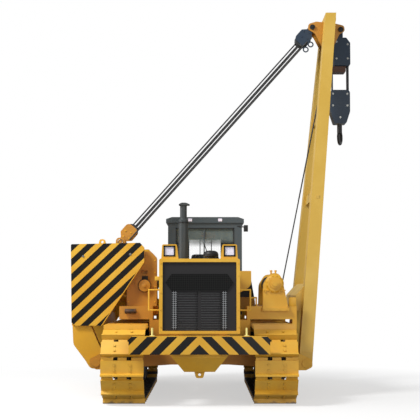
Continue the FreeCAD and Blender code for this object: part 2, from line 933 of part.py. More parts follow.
# ---- platform and cab ---------------------------------------------------------------------
def make_platform():
    """Deck plate on a riser above the hull, with a lip along each side."""
    riser_rear = hull_rear - 60.0
    riser = block(-hull_half + 40.0, hull_half - 40.0, deck_front + 40.0, riser_rear, hull_top, deck_bottom)
    deck = slab_xy([(-deck_half, deck_front), (deck_half, deck_front), (deck_half, deck_rear, 60.0),
                    (-deck_half, deck_rear, 60.0)], deck_bottom, deck_top)
    return fuse([riser, deck])


def door_outline(grow):
    """Cab door's outline in Y and Z, grown all round."""
    return [
        (door_front - grow, sill_z - grow),
        (door_rear + grow, sill_z - grow),
        (door_rear + grow, window_top + grow, 40.0),
        (door_front - grow, window_top + grow, 40.0),
    ]


def wide_window_outline():
    """Outline of the wide front window in X and Z."""
    left = cab_left + cab_wall + window_margin
    right = cab_right - cab_wall - window_margin
    return [
        (left, window_bottom, window_corner),
        (right, window_bottom, window_corner),
        (right, window_top, window_corner),
        (left, window_top, window_corner),
    ]


def rear_window_outline():
    """Outline of the narrower rear window in X and Z."""
    middle = (cab_left + cab_right) / 2.0
    return [
        (middle - rear_window_half, rear_window_bottom, window_corner),
        (middle + rear_window_half, rear_window_bottom, window_corner),
        (middle + rear_window_half, rear_window_top, window_corner),
        (middle - rear_window_half, rear_window_top, window_corner),
    ]


def side_window_outline():
    """Outline of the fixed side window in Y and Z."""
    front = cab_front + cab_wall + window_margin
    rear = cab_rear - cab_wall - window_margin
    return [
        (front, window_bottom, window_corner),
        (rear, window_bottom, window_corner),
        (rear, window_top, window_corner),
        (front, window_top, window_corner),
    ]


def hinge_point(z, y=0.0):
    """Point on the door's hinge line, or beside it along Y."""
    return V(cab_right + hinge_stand, door_rear + door_gap / 2.0 + y, z)


def hinge_knuckle(z_from, z_to, towards):
    """Barrel round the door's hinge line with a leaf that reaches along Y onto the wall or door."""
    axis = hinge_point(z_from)
    ends = sorted((axis.y, axis.y + towards))
    leaf = block(cab_right, axis.x, ends[0], ends[1], z_from, z_to)
    return fuse([rod(axis, hinge_point(z_to), hinge_radius), leaf])


def hinge_heights():
    """Heights of the door's two hinges."""
    return (sill_z + 1.5 * hinge_length, window_top - 1.5 * hinge_length)


def make_cab_shell():
    """Four walls of the cab with their windows, one doorway and the fixed halves of its hinges."""
    outer = block(cab_left, cab_right, cab_front, cab_rear, deck_top, cab_eaves)
    inner = block(
        cab_left + cab_wall, cab_right - cab_wall, cab_front + cab_wall, cab_rear - cab_wall,
        deck_top - 1.0, cab_eaves + 1.0)
    wide = slab_xz(wide_window_outline(), cab_front - 1.0, cab_front + cab_wall + 1.0)
    rear = slab_xz(rear_window_outline(), cab_rear - cab_wall - 1.0, cab_rear + 1.0)
    side_window = slab_yz(side_window_outline(), cab_left - 1.0, cab_left + cab_wall + 1.0)
    doorway = slab_yz(door_outline(door_gap), cab_right - cab_wall - 1.0, cab_right + 1.0)
    pieces = [cut(outer, [inner, wide, rear, side_window, doorway])]
    half = hinge_length / 2.0
    for z in hinge_heights():
        pieces.append(hinge_knuckle(z - half, z - half / 3.0 - 1.0, hinge_length))
        pieces.append(hinge_knuckle(z + half / 3.0 + 1.0, z + half, hinge_length))
        pieces.append(rod(hinge_point(z - half), hinge_point(z + half), hinge_radius / 2.0))
    return fuse(pieces)


def make_cab_roof():
    """Roof cap with raised middle, overhanging the walls."""
    low = [
        (cab_left - roof_overhang, cab_eaves),
        (cab_right + roof_overhang, cab_eaves),
        (cab_right + roof_overhang, cab_eaves + roof_height - 30.0, 12.0),
        (cab_right - 60.0, cab_eaves + roof_height, 60.0),
        (cab_left + 60.0, cab_eaves + roof_height, 60.0),
        (cab_left - roof_overhang, cab_eaves + roof_height - 30.0, 12.0),
    ]
    return slab_xz(low, cab_front - roof_overhang, cab_rear + roof_overhang)


def make_cab_glass():
    """Front, rear and side panes, each filling its window."""
    half = glass_thickness / 2.0
    front = cab_front + cab_wall / 2.0
    rear = cab_rear - cab_wall / 2.0
    panes = [
        slab_xz(wide_window_outline(), front - half, front + half),
        slab_xz(rear_window_outline(), rear - half, rear + half),
    ]
    x = cab_left + cab_wall / 2.0
    panes.append(slab_yz(side_window_outline(), x - half, x + half))
    return bundle(panes)


def door_window_outline():
    """Window in the door, in Y and Z."""
    return [
        (door_front + window_margin, sill_z + door_glass_sill, window_corner),
        (door_rear - window_margin, sill_z + door_glass_sill, window_corner),
        (door_rear - window_margin, window_top - window_margin, window_corner),
        (door_front + window_margin, window_top - window_margin, window_corner),
    ]


def make_door():
    """Cab door with its window cut, a grab handle and the bored halves of its hinges."""
    panel = slab_yz(door_outline(0.0), cab_right - cab_wall, cab_right)
    panel = panel.cut(slab_yz(door_window_outline(), cab_right - cab_wall - 1.0, cab_right + 1.0))
    y = door_front + window_margin / 2.0
    low = sill_z + door_glass_sill / 2.0
    grip = pipe_run([
        V(cab_right - 10.0, y, low),
        V(cab_right + 34.0, y, low),
        V(cab_right + 34.0, y, low + 130.0),
        V(cab_right - 10.0, y, low + 130.0)], 9.0)
    pieces = [panel, grip]
    third = hinge_length / 6.0
    for z in hinge_heights():
        pieces.append(hinge_knuckle(z - third, z + third, -hinge_length))
    bores = [rod(hinge_point(z - hinge_length), hinge_point(z + hinge_length), hinge_radius / 2.0 + pin_fit)
             for z in hinge_heights()]
    return cut(fuse(pieces), bores)


def make_door_glass():
    """Pane in the door."""
    x = cab_right - cab_wall / 2.0
    half = glass_thickness / 2.0
    return slab_yz(door_window_outline(), x - half, x + half)


def make_seat():
    """Operator's seat: cushion and reclined back in one shell."""
    middle = (cab_left + cab_right) / 2.0
    base = deck_top + seat_height
    back = seat_y + seat_length
    profile = [
        (seat_y, base, 40.0),
        (seat_y, base + cushion_depth, 40.0),
        (back, base + cushion_depth - 10.0, 30.0),
        (back + 60.0, base + cushion_depth + backrest_height, 30.0),
        (back + 140.0, base + cushion_depth + backrest_height - 10.0, 30.0),
        (back + 90.0, base, 40.0),
    ]
    return slab_yz(profile, middle - seat_half, middle + seat_half)


def make_seat_base():
    """Pedestal under the seat."""
    middle = (cab_left + cab_right) / 2.0
    half = 0.75 * seat_half
    base = deck_top + seat_height
    rear = seat_y + seat_length
    profile = [
        (seat_y + 60.0, deck_top),
        (rear + 60.0, deck_top),
        (rear + 20.0, base),
        (seat_y + 100.0, base),
    ]
    return slab_yz(profile, middle - half, middle + half)


def make_console():
    """Dashboard inside the front wall with two upright levers."""
    middle = (cab_left + cab_right) / 2.0
    front = cab_front + cab_wall
    rear = front + console_depth
    top = deck_top + console_height
    profile = [
        (front, deck_top),
        (rear, deck_top),
        (rear + 40.0, top - 80.0, 20.0),
        (front + 60.0, top, 20.0),
        (front, top),
    ]
    levers = []
    for x in (middle - 60.0, middle + 60.0):
        knob = V(x, rear + 10.0, top - 50.0 + lever_length)
        levers.append(rod(V(x, rear - 40.0, top - 50.0), knob, 9.0))
        levers.append(Part.makeSphere(20.0, knob))
    return fuse([slab_yz(profile, middle - console_half, middle + console_half)] + levers)


def make_side_tank():
    """Hydraulic tank beside the hood on the boom side, with a rounded underside."""
    outline = [
        (hood_half, side_tank_top),
        (side_tank_out, side_tank_top, 10.0),
        (side_tank_out, side_tank_bottom + 160.0, 120.0),
        (hood_half, side_tank_bottom),
    ]
    return slab_xz(outline, side_tank_front, side_tank_rear)


def make_side_locker():
    """Dark locker behind the tank with a sloping outer face, on the deck's front edge."""
    inner = hood_half + 4.0
    outline = [
        (inner, deck_top),
        (locker_out, beam_top + 10.0),
        (locker_out, beam_top + 50.0),
        (locker_out - 80.0, side_tank_top),
        (inner, side_tank_top),
    ]
    return slab_xz(outline, side_tank_rear + 10.0, deck_front)


def make_fuel_tank():
    """Fuel tank across the rear of the deck, with rounded edges."""
    front = cab_rear + fuel_tank_gap
    rear = deck_rear - 30.0
    outline = [
        (front, deck_top),
        (rear, deck_top, 60.0),
        (rear, fuel_tank_top, 110.0),
        (front, fuel_tank_top, 40.0),
    ]
    half = deck_half - 20.0
    tank = slab_yz(outline, -half, half)
    foot = V(-0.6 * half, front + 110.0, fuel_tank_top)
    return fuse([tank, rod(foot, foot.add(V(0, 0, 40.0)), fuel_neck_radius)])


def make_drawbar():
    """Rear drawbar with a pin hole, on the hull's tail and clear of the deck above."""
    rear = hull_rear + drawbar_length
    outline = [(-drawbar_half, hull_rear), (drawbar_half, hull_rear), (80.0, rear, 60.0), (-80.0, rear, 60.0)]
    top = drawbar_bottom + drawbar_plate
    below = V(0, drawbar_hole_y, drawbar_bottom - 1.0)
    hole = rod(below, V(0, drawbar_hole_y, top + 1.0), drawbar_hole_radius)
    return slab_xy(outline, drawbar_bottom, top).cut(hole)


def make_handrails():
    """Upright grab rail on each side of the radiator guard, and a rail on to the boom side's beam."""
    rails = []
    outer = guard_half + rail_depth
    for side in (-1, 1):
        foot = side * guard_half
        rails.append(pipe_run([
            V(foot, rail_y, rail_low),
            V(side * outer, rail_y, rail_low),
            V(side * outer, rail_y, rail_high),
            V(foot, rail_y, rail_high)], rail_radius))
    post_y = front_leg_y - portal_half + 30.0
    run = pipe_run([
        V(outer, rail_y, side_rail_z),
        V(side_rail_x, post_y, side_rail_z),
        V(side_rail_x, post_y, beam_top)], rail_radius)
    return bundle([rails[0], fuse([rails[1], run])])


# ---- side frames --------------------------------------------------------------------------
def portal_outline(outer, foot):
    """Cross beam over a track: up from the hull's side, across, and down outside the shoes."""
    corners = [
        (hull_half, hull_chine + 20.0),
        (inner_wall_x - 100.0, hull_chine + 20.0),
        (inner_wall_x, hull_chine + 120.0),
        (inner_wall_x, beam_bottom),
    ]
    if foot:
        corners += [(leg_inner_x, beam_bottom), (leg_inner_x, foot), (outer, foot), (outer, beam_top)]
    else:
        corners += [(outer, beam_bottom), (outer, beam_top)]
    corners += [
        (deck_half + 15.0, beam_top),
        (deck_half + 15.0, deck_bottom - 10.0),
        (hood_half + 10.0, deck_bottom - 10.0),
        (hood_half + 10.0, hull_top),
        (hull_half, hull_top),
    ]
    return corners


def foot_lug(x, z, y_from, y_to):
    """Lug plate that holds one side of a foot pin outside the portal leg."""
    tip = x + lug_radius - 5.0
    corners = [
        (leg_outer_x, z - lug_radius),
        (x, z - lug_radius),
        (tip, z - 50.0, 40.0),
        (tip, z + 50.0, 40.0),
        (x, z + lug_radius),
        (leg_outer_x, z + lug_radius + 55.0),
    ]
    return slab_xz(corners, y_from, y_to)


def foot_station(x, z, y, width):
    """Two lugs with a pin between them, and the tie through the track's loop to its frame."""
    half = width / 2.0 + lug_gap
    reach = half + lug_plate
    pieces = []
    for side in (-1, 1):
        far = V(x, y + side * reach, z)
        ends = sorted((y + side * half, far.y))
        pieces.append(foot_lug(x, z, ends[0], ends[1]))
        pieces.append(rod(far, far.add(V(0, side * pin_head, 0)), foot_pin_radius + 16.0))
    pieces.append(rod(V(x, y - reach, z), V(x, y + reach, z), foot_pin_radius))
    near = y - portal_half
    far = y + portal_half
    pieces.append(block(track_x + track_frame_width / 2.0, leg_inner_x, near, far, tie_bottom, tie_top))
    pieces.append(block(leg_inner_x, leg_outer_x, near, far, portal_leg_bottom, beam_bottom))
    return pieces


def long_rails(middles, width):
    """Rails along the machine that join the two portals and carry a winch."""
    near = portal_ys[0] + portal_half
    far = portal_ys[1] - portal_half
    low = beam_top - winch_rail_depth
    return [block(x - width / 2.0, x + width / 2.0, near, far, low, beam_top) for x in middles]


def make_boom_side_frame():
    """Boom side frame: two portals over the track, each with one foot of the boom."""
    portals = []
    for y in portal_ys:
        outline = portal_outline(leg_outer_x, portal_leg_bottom)
        beam = slab_xz(outline, y - portal_half, y + portal_half)
        portals.append(fuse([beam] + foot_station(boom_foot_x, boom_foot_z, y, leg_depth_foot)))
    return bundle(portals)


def make_weight_side_frame():
    """Counterweight side frame: two short beams over the track, and the counterweight's feet."""
    below = block(
        2.0 * weight_outer, 0.0, portal_ys[0] - 2.0 * portal_half, portal_ys[1] + 2.0 * portal_half,
        0.0, weight_pivot_z + 150.0)
    pieces = []
    for y in portal_ys:
        pieces.append(flipped(slab_xz(portal_outline(-tower_inner_x, 0.0), y - portal_half, y + portal_half)))
        station = fuse(foot_station(-weight_pivot_x, weight_pivot_z, y, arm_width))
        pieces.append(flipped(station).common(below))
    return bundle(pieces)


def make_winch_rails():
    """Four rails along the machine, between the portals, that carry the winches."""
    half = winch_rail_width / 2.0
    spread = hoist_rail_spacing / 2.0
    boom_side = long_rails((hoist_drum_x - spread, hoist_drum_x + spread), winch_rail_width)
    inner = -cylinder_foot_x - bracket_half + half
    weight_side = long_rails((inner, -tower_inner_x - half), winch_rail_width)
    return bundle(boom_side + [flipped(rail) for rail in weight_side])


def bell_outline(x, z, lean, foot):
    """Winch end housing: upright inner side, round top and a sloping outer side."""
    return [
        (x - lean * 165.0, foot),
        (x - lean * 155.0, z, 130.0),
        (x - lean * 60.0, z + 150.0, 90.0),
        (x + lean * 70.0, z + 150.0, 90.0),
        (x + lean * 120.0, z, 60.0),
        (x + lean * 185.0, foot),
    ]


def make_hoist_winch_frame():
    """End housings of the hoist winch: a domed front one that hangs over the beam's face, and a plate."""
    x = hoist_drum_x
    z = hoist_drum_z
    face = front_leg_y - portal_half
    lip = slab_xz(bell_outline(x, z, 1.0, hoist_housing_bottom), hoist_front, face - 1.0)
    front = slab_xz(bell_outline(x, z, 1.0, beam_top), hoist_front, hoist_front + hoist_housing)
    low = hoist_housing_bottom
    flange = block(x - 172.0, x + 195.0, hoist_front - 20.0, face - 1.0, low, low + 45.0)
    dome = Part.makeCone(dome_radius, 0.78 * dome_radius, 16.0, V(x, hoist_front, z), V(0, -1, 0))
    boss = rod(V(x, hoist_front - 42.0, z), V(x, hoist_front, z), 0.5 * dome_radius)
    hub = rod(V(x, hoist_front - 60.0, z), V(x, hoist_front - 42.0, z), 0.28 * dome_radius)
    pieces = [lip, front, flange, dome, boss, hub]
    top = z + 150.0
    for offset in (-44.0, 18.0):
        foot = V(x + offset, hoist_front + hoist_housing / 2.0, top - 20.0)
        pieces.append(rod(foot, foot.add(V(0, 0, breather_height)), breather_radius))
        cap = foot.add(V(0, 0, breather_height - 20.0))
        pieces.append(rod(cap, cap.add(V(0, 0, 16.0)), 1.6 * breather_radius))
    rear = slab_xz(bell_outline(x, z, 1.0, beam_top), hoist_rear - rear_plate, hoist_rear)
    return bundle([fuse(pieces), rear])


def make_drum(x, z, front, rear, radius, flange_radius):
    """Rope drum with two flanges and a lay of rope between them."""
    flanges = []
    for y in (front + 10.0, rear - 30.0):
        flanges.append(rod(V(x, y, z), V(x, y + 20.0, z), flange_radius))
    return fuse([rod(V(x, front, z), V(x, rear, z), radius)] + flanges)


def make_luff_winch_frame():
    """End housings of the luffing winch: a tall front one with a round cover, and a rear plate."""
    x = luff_drum_x
    z = luff_drum_z
    half = luff_housing_half
    top = z + luff_housing_rise
    corners = [
        (x - half, beam_top),
        (x + half, beam_top),
        (x + half, top - 90.0, 60.0),
        (x + 0.6 * half, top, 60.0),
        (x - 20.0, top, 60.0),
        (x - 60.0, top - 250.0, 60.0),
        (x - half, z - 60.0, 60.0),
    ]
    front = slab_xz(corners, luff_front, luff_front + luff_housing)
    cover = rod(V(x, luff_front - 30.0, z), V(x, luff_front, z), 90.0)
    hub = rod(V(x, luff_front - 44.0, z), V(x, luff_front - 30.0, z), 40.0)
    slot = block(x - 10.0, x + 80.0, luff_front - 1.0, luff_front + 40.0, z + 130.0, z + 180.0)
    rear = slab_xz(bell_outline(x, z, -1.0, beam_top), luff_rear - rear_plate, luff_rear)
    return bundle([fuse([front, cover, hub]).cut(slot), rear])


def make_tackle_tower():
    """Two leaning plates and a web that hold the luffing tackle's lower pin."""
    base = tower_inner_x
    x = luff_anchor_x
    z = luff_anchor_z
    corners = [
        (base, beam_top),
        (base + 110.0, beam_top),
        (base + 110.0, z - tower_bend + 60.0, 200.0),
        (x + 85.0, z - 40.0, 30.0),
        (x + 60.0, z + 60.0, 50.0),
        (x - 60.0, z + 60.0, 50.0),
        (x - 70.0, z - 60.0, 60.0),
        (base, z - tower_bend, 200.0),
    ]
    half = cheek_gap / 2.0
    pieces = []
    for side in (-1, 1):
        ends = sorted((boom_middle_y + side * half, boom_middle_y + side * (half + cheek_plate)))
        pieces.append(slab_xz(corners, ends[0], ends[1]))
    web = [
        (base + 20.0, beam_top),
        (base + 90.0, beam_top),
        (base + 90.0, z - tower_bend),
        (x + 60.0, z - 240.0),
        (x - 10.0, z - 240.0),
        (base + 20.0, z - tower_bend),
    ]
    pieces.append(slab_xz(web, boom_middle_y - half, boom_middle_y + half))
    reach = V(0, half + cheek_plate + 12.0, 0)
    pieces.append(rod(luff_anchor.sub(reach), luff_anchor.add(reach), ear_pin_radius))
    return fuse(pieces)


def make_cylinder_bracket():
    """Pair of lugs with a pin for the counterweight cylinder's foot, open between them."""
    pieces = []
    for side in (-1, 1):
        ends = sorted((cylinder_y + side * lug_spread, cylinder_y + side * (lug_spread + lug_thickness)))
        corners = [
            (cylinder_foot_x - 1.8 * eye_radius, beam_top),
            (cylinder_foot_x - bracket_half, cylinder_foot_z + bracket_half, 36.0),
            (cylinder_foot_x + bracket_half, cylinder_foot_z + bracket_half, 36.0),
            (cylinder_foot_x + bracket_half, beam_top),
        ]
        pieces.append(slab_xz(corners, ends[0], ends[1]))
    reach = V(0, lug_spread + lug_thickness + 8.0, 0)
    pieces.append(rod(cylinder_foot.sub(reach), cylinder_foot.add(reach), cylinder_pin_radius))
    return fuse(pieces)


# ---- boom ---------------------------------------------------------------------------------
def leg_section(share, side):
    """Rectangle across a boom leg at a share of the way from foot to head."""
    z = boom_foot_z + leg_start + share * (head_z + head_rise - boom_foot_z - leg_start)
    rise = (z - boom_foot_z) / (head_z - boom_foot_z)
    x = boom_foot_x + (head_x - boom_foot_x) * rise
    spacing = foot_spacing + (head_spacing - foot_spacing) * rise
    y = boom_middle_y + side * spacing / 2.0
    half_x = (leg_width_foot + (leg_width_head - leg_width_foot) * share) / 2.0
    half_y = (leg_depth_foot + (leg_depth_head - leg_depth_foot) * share) / 2.0
    corners = [
        V(x - half_x, y - half_y, z),
        V(x + half_x, y - half_y, z),
        V(x + half_x, y + half_y, z),
        V(x - half_x, y + half_y, z),
    ]
    return Part.Wire(Part.makePolygon(corners + corners[:1]).Edges)


def make_leg(side):
    """Tapered box leg with a bored foot."""
    shaft = Part.makeLoft([leg_section(0.0, side), leg_section(1.0, side)], True, True)
    y = boom_middle_y + side * foot_spacing / 2.0
    half = leg_depth_foot / 2.0
    radius = leg_width_foot / 2.0 - 4.0
    corners = [
        (boom_foot_x - radius, boom_foot_z - radius, radius - 1.0),
        (boom_foot_x + radius, boom_foot_z - radius, radius - 1.0),
        (boom_foot_x + radius + 14.0, boom_foot_z + leg_start),
        (boom_foot_x - radius + 10.0, boom_foot_z + leg_start),
    ]
    foot = slab_xz(corners, y - half, y + half)
    reach = half + 1.0
    ends = [V(boom_foot_x, at, boom_foot_z) for at in (y - reach, y + reach)]
    bore = rod(ends[0], ends[1], foot_pin_radius + pin_fit)
    return fuse([shaft, foot]).cut(bore)


def boom_x(z):
    """X of the boom's middle plane at a height."""
    return boom_foot_x + (head_x - boom_foot_x) * (z - boom_foot_z) / (head_z - boom_foot_z)


def boom_inner_gap(z):
    """Half the distance between the legs' middles at a height."""
    rise = (z - boom_foot_z) / (head_z - boom_foot_z)
    return (foot_spacing + (head_spacing - foot_spacing) * rise) / 2.0


def make_boom():
    """A-frame boom: two legs, a deep lower cross member and two upper braces."""
    legs = [make_leg(-1), make_leg(1)]
    low = [
        (leg_outer_x + 18.0, cross_bottom),
        (boom_x(cross_bottom) + 70.0, cross_bottom),
        (boom_x(cross_top) + 70.0, cross_top),
        (boom_x(cross_top) - 60.0, cross_top),
        (leg_outer_x + 18.0, cross_shoulder),
    ]
    reach = boom_inner_gap((cross_bottom + cross_top) / 2.0)
    members = [slab_xz(low, boom_middle_y - reach, boom_middle_y + reach)]
    for z in brace_heights:
        reach = boom_inner_gap(z)
        tie = [
            (boom_x(z) - 55.0, z - brace_half),
            (boom_x(z) + 45.0, z - brace_half),
            (boom_x(z) + 55.0, z + brace_half),
            (boom_x(z) - 45.0, z + brace_half),
        ]
        members.append(slab_xz(tie, boom_middle_y - reach, boom_middle_y + reach))
    top = head_z + head_rise
    cap_half = boom_inner_gap(top) + leg_depth_head / 2.0 - 6.0
    crest = [
        (boom_x(top) - 74.0, top - 120.0),
        (boom_x(top) + 74.0, top - 120.0),
        (boom_x(top) + 76.0, top),
        (boom_x(top) - 76.0, top),
    ]
    cap = slab_xz(crest, boom_middle_y - cap_half, boom_middle_y + cap_half)
    face = boom_middle_y - boom_inner_gap(badge_z) - leg_depth_foot / 2.0
    badge = block(
        boom_x(badge_z) - badge_half, boom_x(badge_z) + badge_half, face - 2.0, face + 40.0,
        badge_z - badge_half, badge_z + badge_half)
    return fuse(legs + members + [cap, badge])


def make_boom_head(boom):
    """Cheek plates with an ear each side, the pins and the rope sheaves between them."""
    corners = [
        (luff_ear_x - ear_radius, luff_ear_z - 30.0, 40.0),
        (luff_ear_x + 40.0, luff_ear_z - 90.0, 60.0),
        (head_x - 60.0, head_z - cheek_drop, 60.0),
        (head_x + 60.0, head_z - cheek_drop, 60.0),
        (load_ear_x - 20.0, load_ear_z - 70.0, 40.0),
        (load_ear_x + ear_radius, load_ear_z - 20.0, 40.0),
        (load_ear_x + ear_radius - 6.0, load_ear_z + ear_radius, 50.0),
        (load_ear_x - 60.0, load_ear_z + ear_radius + 30.0, 60.0),
        (luff_ear_x + 60.0, luff_ear_z + ear_radius + 30.0, 60.0),
        (luff_ear_x - ear_radius, luff_ear_z + ear_radius - 8.0, 50.0),
    ]
    half = cheek_gap / 2.0
    pieces = []
    for side in (-1, 1):
        near = boom_middle_y + side * half
        far = boom_middle_y + side * (half + cheek_plate)
        pieces.append(slab_xz(corners, min(near, far), max(near, far)))
    reach = V(0, half + cheek_plate + pin_head, 0)
    for pin, radius in ((luff_ear, ear_pin_radius), (load_ear, ear_pin_radius), (head_sheave, 30.0)):
        pieces.append(rod(pin.sub(reach), pin.add(reach), radius))
    lane = head_sheave.y + rope_lane / 2.0
    grip = sheave_width / 2.0
    ends = [V(head_sheave.x, at, head_sheave.z) for at in (lane - grip, lane + grip)]
    pieces.append(rod(ends[0], ends[1], head_sheave_radius))
    return fuse(pieces).cut(boom)


# ---- ropes and blocks ---------------------------------------------------------------------
def swing_plate(pin, towards, length, half_width, y_from, y_to):
    """Block cheek: a rounded plate along a direction from its pin, with the pin's bore."""
    along = towards.sub(pin)
    along.y = 0
    along.normalize()
    across = V(-along.z, 0, along.x)

    def place(a, b):
        point = pin.add(V(along).multiply(a)).add(V(across).multiply(b))
        return V(point.x, y_from, point.z)

    corners = [
        (-ear_radius + 10.0, -44.0, 40.0),
        (60.0, -44.0),
        (120.0, -half_width, 30.0),
        (length, -half_width, half_width * 0.6),
        (length, half_width, half_width * 0.6),
        (120.0, half_width, 30.0),
        (60.0, 44.0),
        (-ear_radius + 10.0, 44.0, 40.0),
    ]
    plate = Part.Face(rounded_wire(corners, place)).extrude(V(0, y_to - y_from, 0))
    ends = [V(pin.x, at, pin.z) for at in (y_from - 1.0, y_to + 1.0)]
    return plate.cut(rod(ends[0], ends[1], ear_pin_radius + pin_fit))


def block_point(pin, towards, along_by, across_by, y):
    """Point in a block, measured along and across its line from the pin."""
    along = towards.sub(pin).normalize()
    point = pin.add(V(along).multiply(along_by)).add(V(-along.z, 0, along.x).multiply(across_by))
    point.y = y
    return point


def make_tackle_block(pin, towards, first_lane):
    """Luffing block: two cheeks, two sheaves and a rope socket on a pin, and a bored hanger."""
    half = cheek_gap / 2.0 - block_side_gap
    inner = half - block_plate
    pieces = []
    for side in (-1, 1):
        ends = sorted((pin.y + side * inner, pin.y + side * half))
        pieces.append(swing_plate(pin, towards, block_length + 100.0, 104.0, ends[0], ends[1]))
    ends = [block_point(pin, towards, block_length, 0.0, pin.y + side * inner) for side in (-1, 1)]
    pieces.append(rod(ends[0], ends[1], becket_offset))
    grip = sheave_width / 2.0
    for lane in (0, 2):
        y = pin.y + first_lane + lane * rope_lane
        near = block_point(pin, towards, block_length, 0.0, y - grip)
        far = block_point(pin, towards, block_length, 0.0, y + grip)
        pieces.append(rod(near, far, rope_offset - rope_radius))
    y = pin.y + first_lane + 4.0 * rope_lane
    lengths = (block_length, block_length + socket_length)
    socket = [block_point(pin, towards, along, becket_offset, y) for along in lengths]
    pieces.append(rod(socket[0], socket[1], 11.0))
    return fuse(pieces)


def make_luff_strands(pin, towards, first_lane):
    """Parts of line that belong to one luffing block: two off its sheaves, one in its socket."""
    starts = (
        (-rope_offset, 0, block_length),
        (rope_offset, 2, block_length),
        (becket_offset, 4, block_length + socket_length),
    )
    strands = []
    for across, lane, skip in starts:
        y = pin.y + first_lane + lane * rope_lane
        ends = [block_point(pin, towards, along, across, y) for along in (skip, luff_strand)]
        strands.append(rod(ends[0], ends[1], rope_radius))
    return bundle(strands)


def make_hoist_line(start, end, length, lane):
    """Part of the hoist line that belongs to the winch or to the boom's head."""
    along = end.sub(start).normalize()
    shift = V(0, lane * rope_lane / 2.0, 0)
    return rod(start.add(shift), start.add(V(along).multiply(length)).add(shift), rope_radius)


def make_load_block():
    """Upper load block: a hanger on the head's pin and a stepped housing below it."""
    x = load_ear_x
    y = boom_middle_y
    half = cheek_gap / 2.0 - block_side_gap
    low = load_ear_z - load_body_drop
    hanger = slab_xz([
        (x - 46.0, load_ear_z + 46.0, 40.0),
        (x - 46.0, load_ear_z - 120.0),
        (x + 46.0, load_ear_z - 120.0),
        (x + 46.0, load_ear_z + 46.0, 40.0),
    ], y - 40.0, y + 40.0)
    body = slab_xz([
        (x - 95.0, load_ear_z - 110.0, 20.0),
        (x - 95.0, low, 30.0),
        (x + 150.0, low, 30.0),
        (x + 150.0, load_ear_z - 190.0, 20.0),
        (x + 90.0, load_ear_z - 110.0, 20.0),
    ], y - half, y + half)
    lower = slab_xz([
        (x - 125.0, low - 12.0),
        (x + 80.0, low - 12.0),
        (x + 80.0, load_ear_z - load_block_drop, 20.0),
        (x - 125.0, load_ear_z - load_block_drop, 20.0),
    ], y - half + 10.0, y + half - 10.0)
    neck = block(x - 60.0, x + 40.0, y - 40.0, y + 40.0, low - 20.0, low + 10.0)
    bore = rod(V(x, y - half - 1.0, load_ear_z), V(x, y + half + 1.0, load_ear_z), ear_pin_radius + pin_fit)
    return fuse([hanger, body, neck, lower]).cut(bore)


def make_falls(hook_block):
    """Parts of line between the load block and the hook block."""
    x = load_ear_x
    y = boom_middle_y
    top = load_ear_z - load_block_drop
    low = hook_block_top
    falls = []
    for dx, dy in ((-95.0, -34.0), (-30.0, 34.0), (40.0, -34.0)):
        falls.append(rod(V(x + dx, y + dy, low), V(x + dx, y + dy, top), rope_radius))
    falls.append(rod(V(x + 128.0, y, low - 60.0), V(x + 128.0, y, load_ear_z - load_body_drop), rope_radius))
    return bundle([fall.cut(hook_block) for fall in falls])


def make_hook_block():
    """Hook block: a tapering housing with a swivel boss for the hook's shank."""
    x = hook_x
    y = boom_middle_y
    top = hook_block_top
    low = hook_block_low
    half = hook_block_half
    body = slab_xz([
        (x - half, top, 50.0),
        (x - half, low + 180.0, 60.0),
        (x - half + 58.0, low, 24.0),
        (x + half - 58.0, low, 24.0),
        (x + half, low + 180.0, 60.0),
        (x + half, top, 50.0),
    ], y - 95.0, y + 95.0)
    socket = rod(V(x, y, low - 1.0), V(x, y, low + 120.0), shank_radius + pin_fit)
    return body.cut(socket)


def hook_station(degrees):
    """Point on the hook's bowl at an angle, before the hook is turned on its swivel."""
    angle = math.radians(degrees)
    return V(
        hook_x + hook_bowl_radius * math.cos(angle),
        boom_middle_y,
        hook_bowl_z + hook_bowl_radius * math.sin(angle))


def make_hook():
    """Forged hook: shank in the block's socket, and a swept bowl that thins towards its tip."""
    neck = V(hook_x, boom_middle_y, hook_neck_z)
    shank = rod(neck, V(hook_x, boom_middle_y, hook_block_low + 118.0), shank_radius)
    collar = rod(
        V(hook_x, boom_middle_y, hook_bowl_z + hook_bowl_radius - 26.0),
        neck, shank_radius + 6.0)
    arc = Part.Arc(hook_station(90.0), hook_station(-50.0), hook_station(hook_tip_angle)).toShape()
    sections = []
    for degrees, scale in ((90.0, 1.0), (hook_tip_angle, 0.66)):
        at = hook_station(degrees)
        out = at.sub(V(hook_x, boom_middle_y, hook_bowl_z)).normalize()
        corners = []
        for reach, across in hook_section:
            for_side = V(0, across * scale, 0)
            corners.append(at.add(V(out).multiply(reach * scale)).add(for_side))
        sections.append(Part.makePolygon(corners + corners[:1]))
    bowl = Part.Wire([arc]).makePipeShell(sections, True, True)
    whole = fuse([shank, collar, bowl])
    whole.rotate(V(hook_x, boom_middle_y, 0), V(0, 0, 1), hook_turn)
    return whole


# ---- counterweight ------------------------------------------------------------------------
def weight_outline():
    """Outline of the counterweight in X and Z: cut corners and a long slanting inner side."""
    return [
        (weight_outer, weight_top - 20.0, 20.0),
        (weight_inner - 60.0, weight_top),
        (weight_inner, weight_top - 66.0),
        (weight_inner, weight_top - weight_neck),
        (weight_inner - weight_slant, weight_bottom),
        (weight_outer + 70.0, weight_bottom),
        (weight_outer + 18.0, weight_bottom + 44.0),
    ]


def make_lifting_eye(x, y):
    """Lifting eye on the counterweight's top."""
    top = weight_top - 20.0
    corners = [(x - 60.0, top), (x + 60.0, top), (x + 36.0, top + 94.0, 34.0), (x - 36.0, top + 94.0, 34.0)]
    plate = slab_xz(corners, y - 22.0, y + 22.0)
    hole = rod(V(x, y - 30.0, top + 54.0), V(x, y + 30.0, top + 54.0), 20.0)
    return plate.cut(hole)


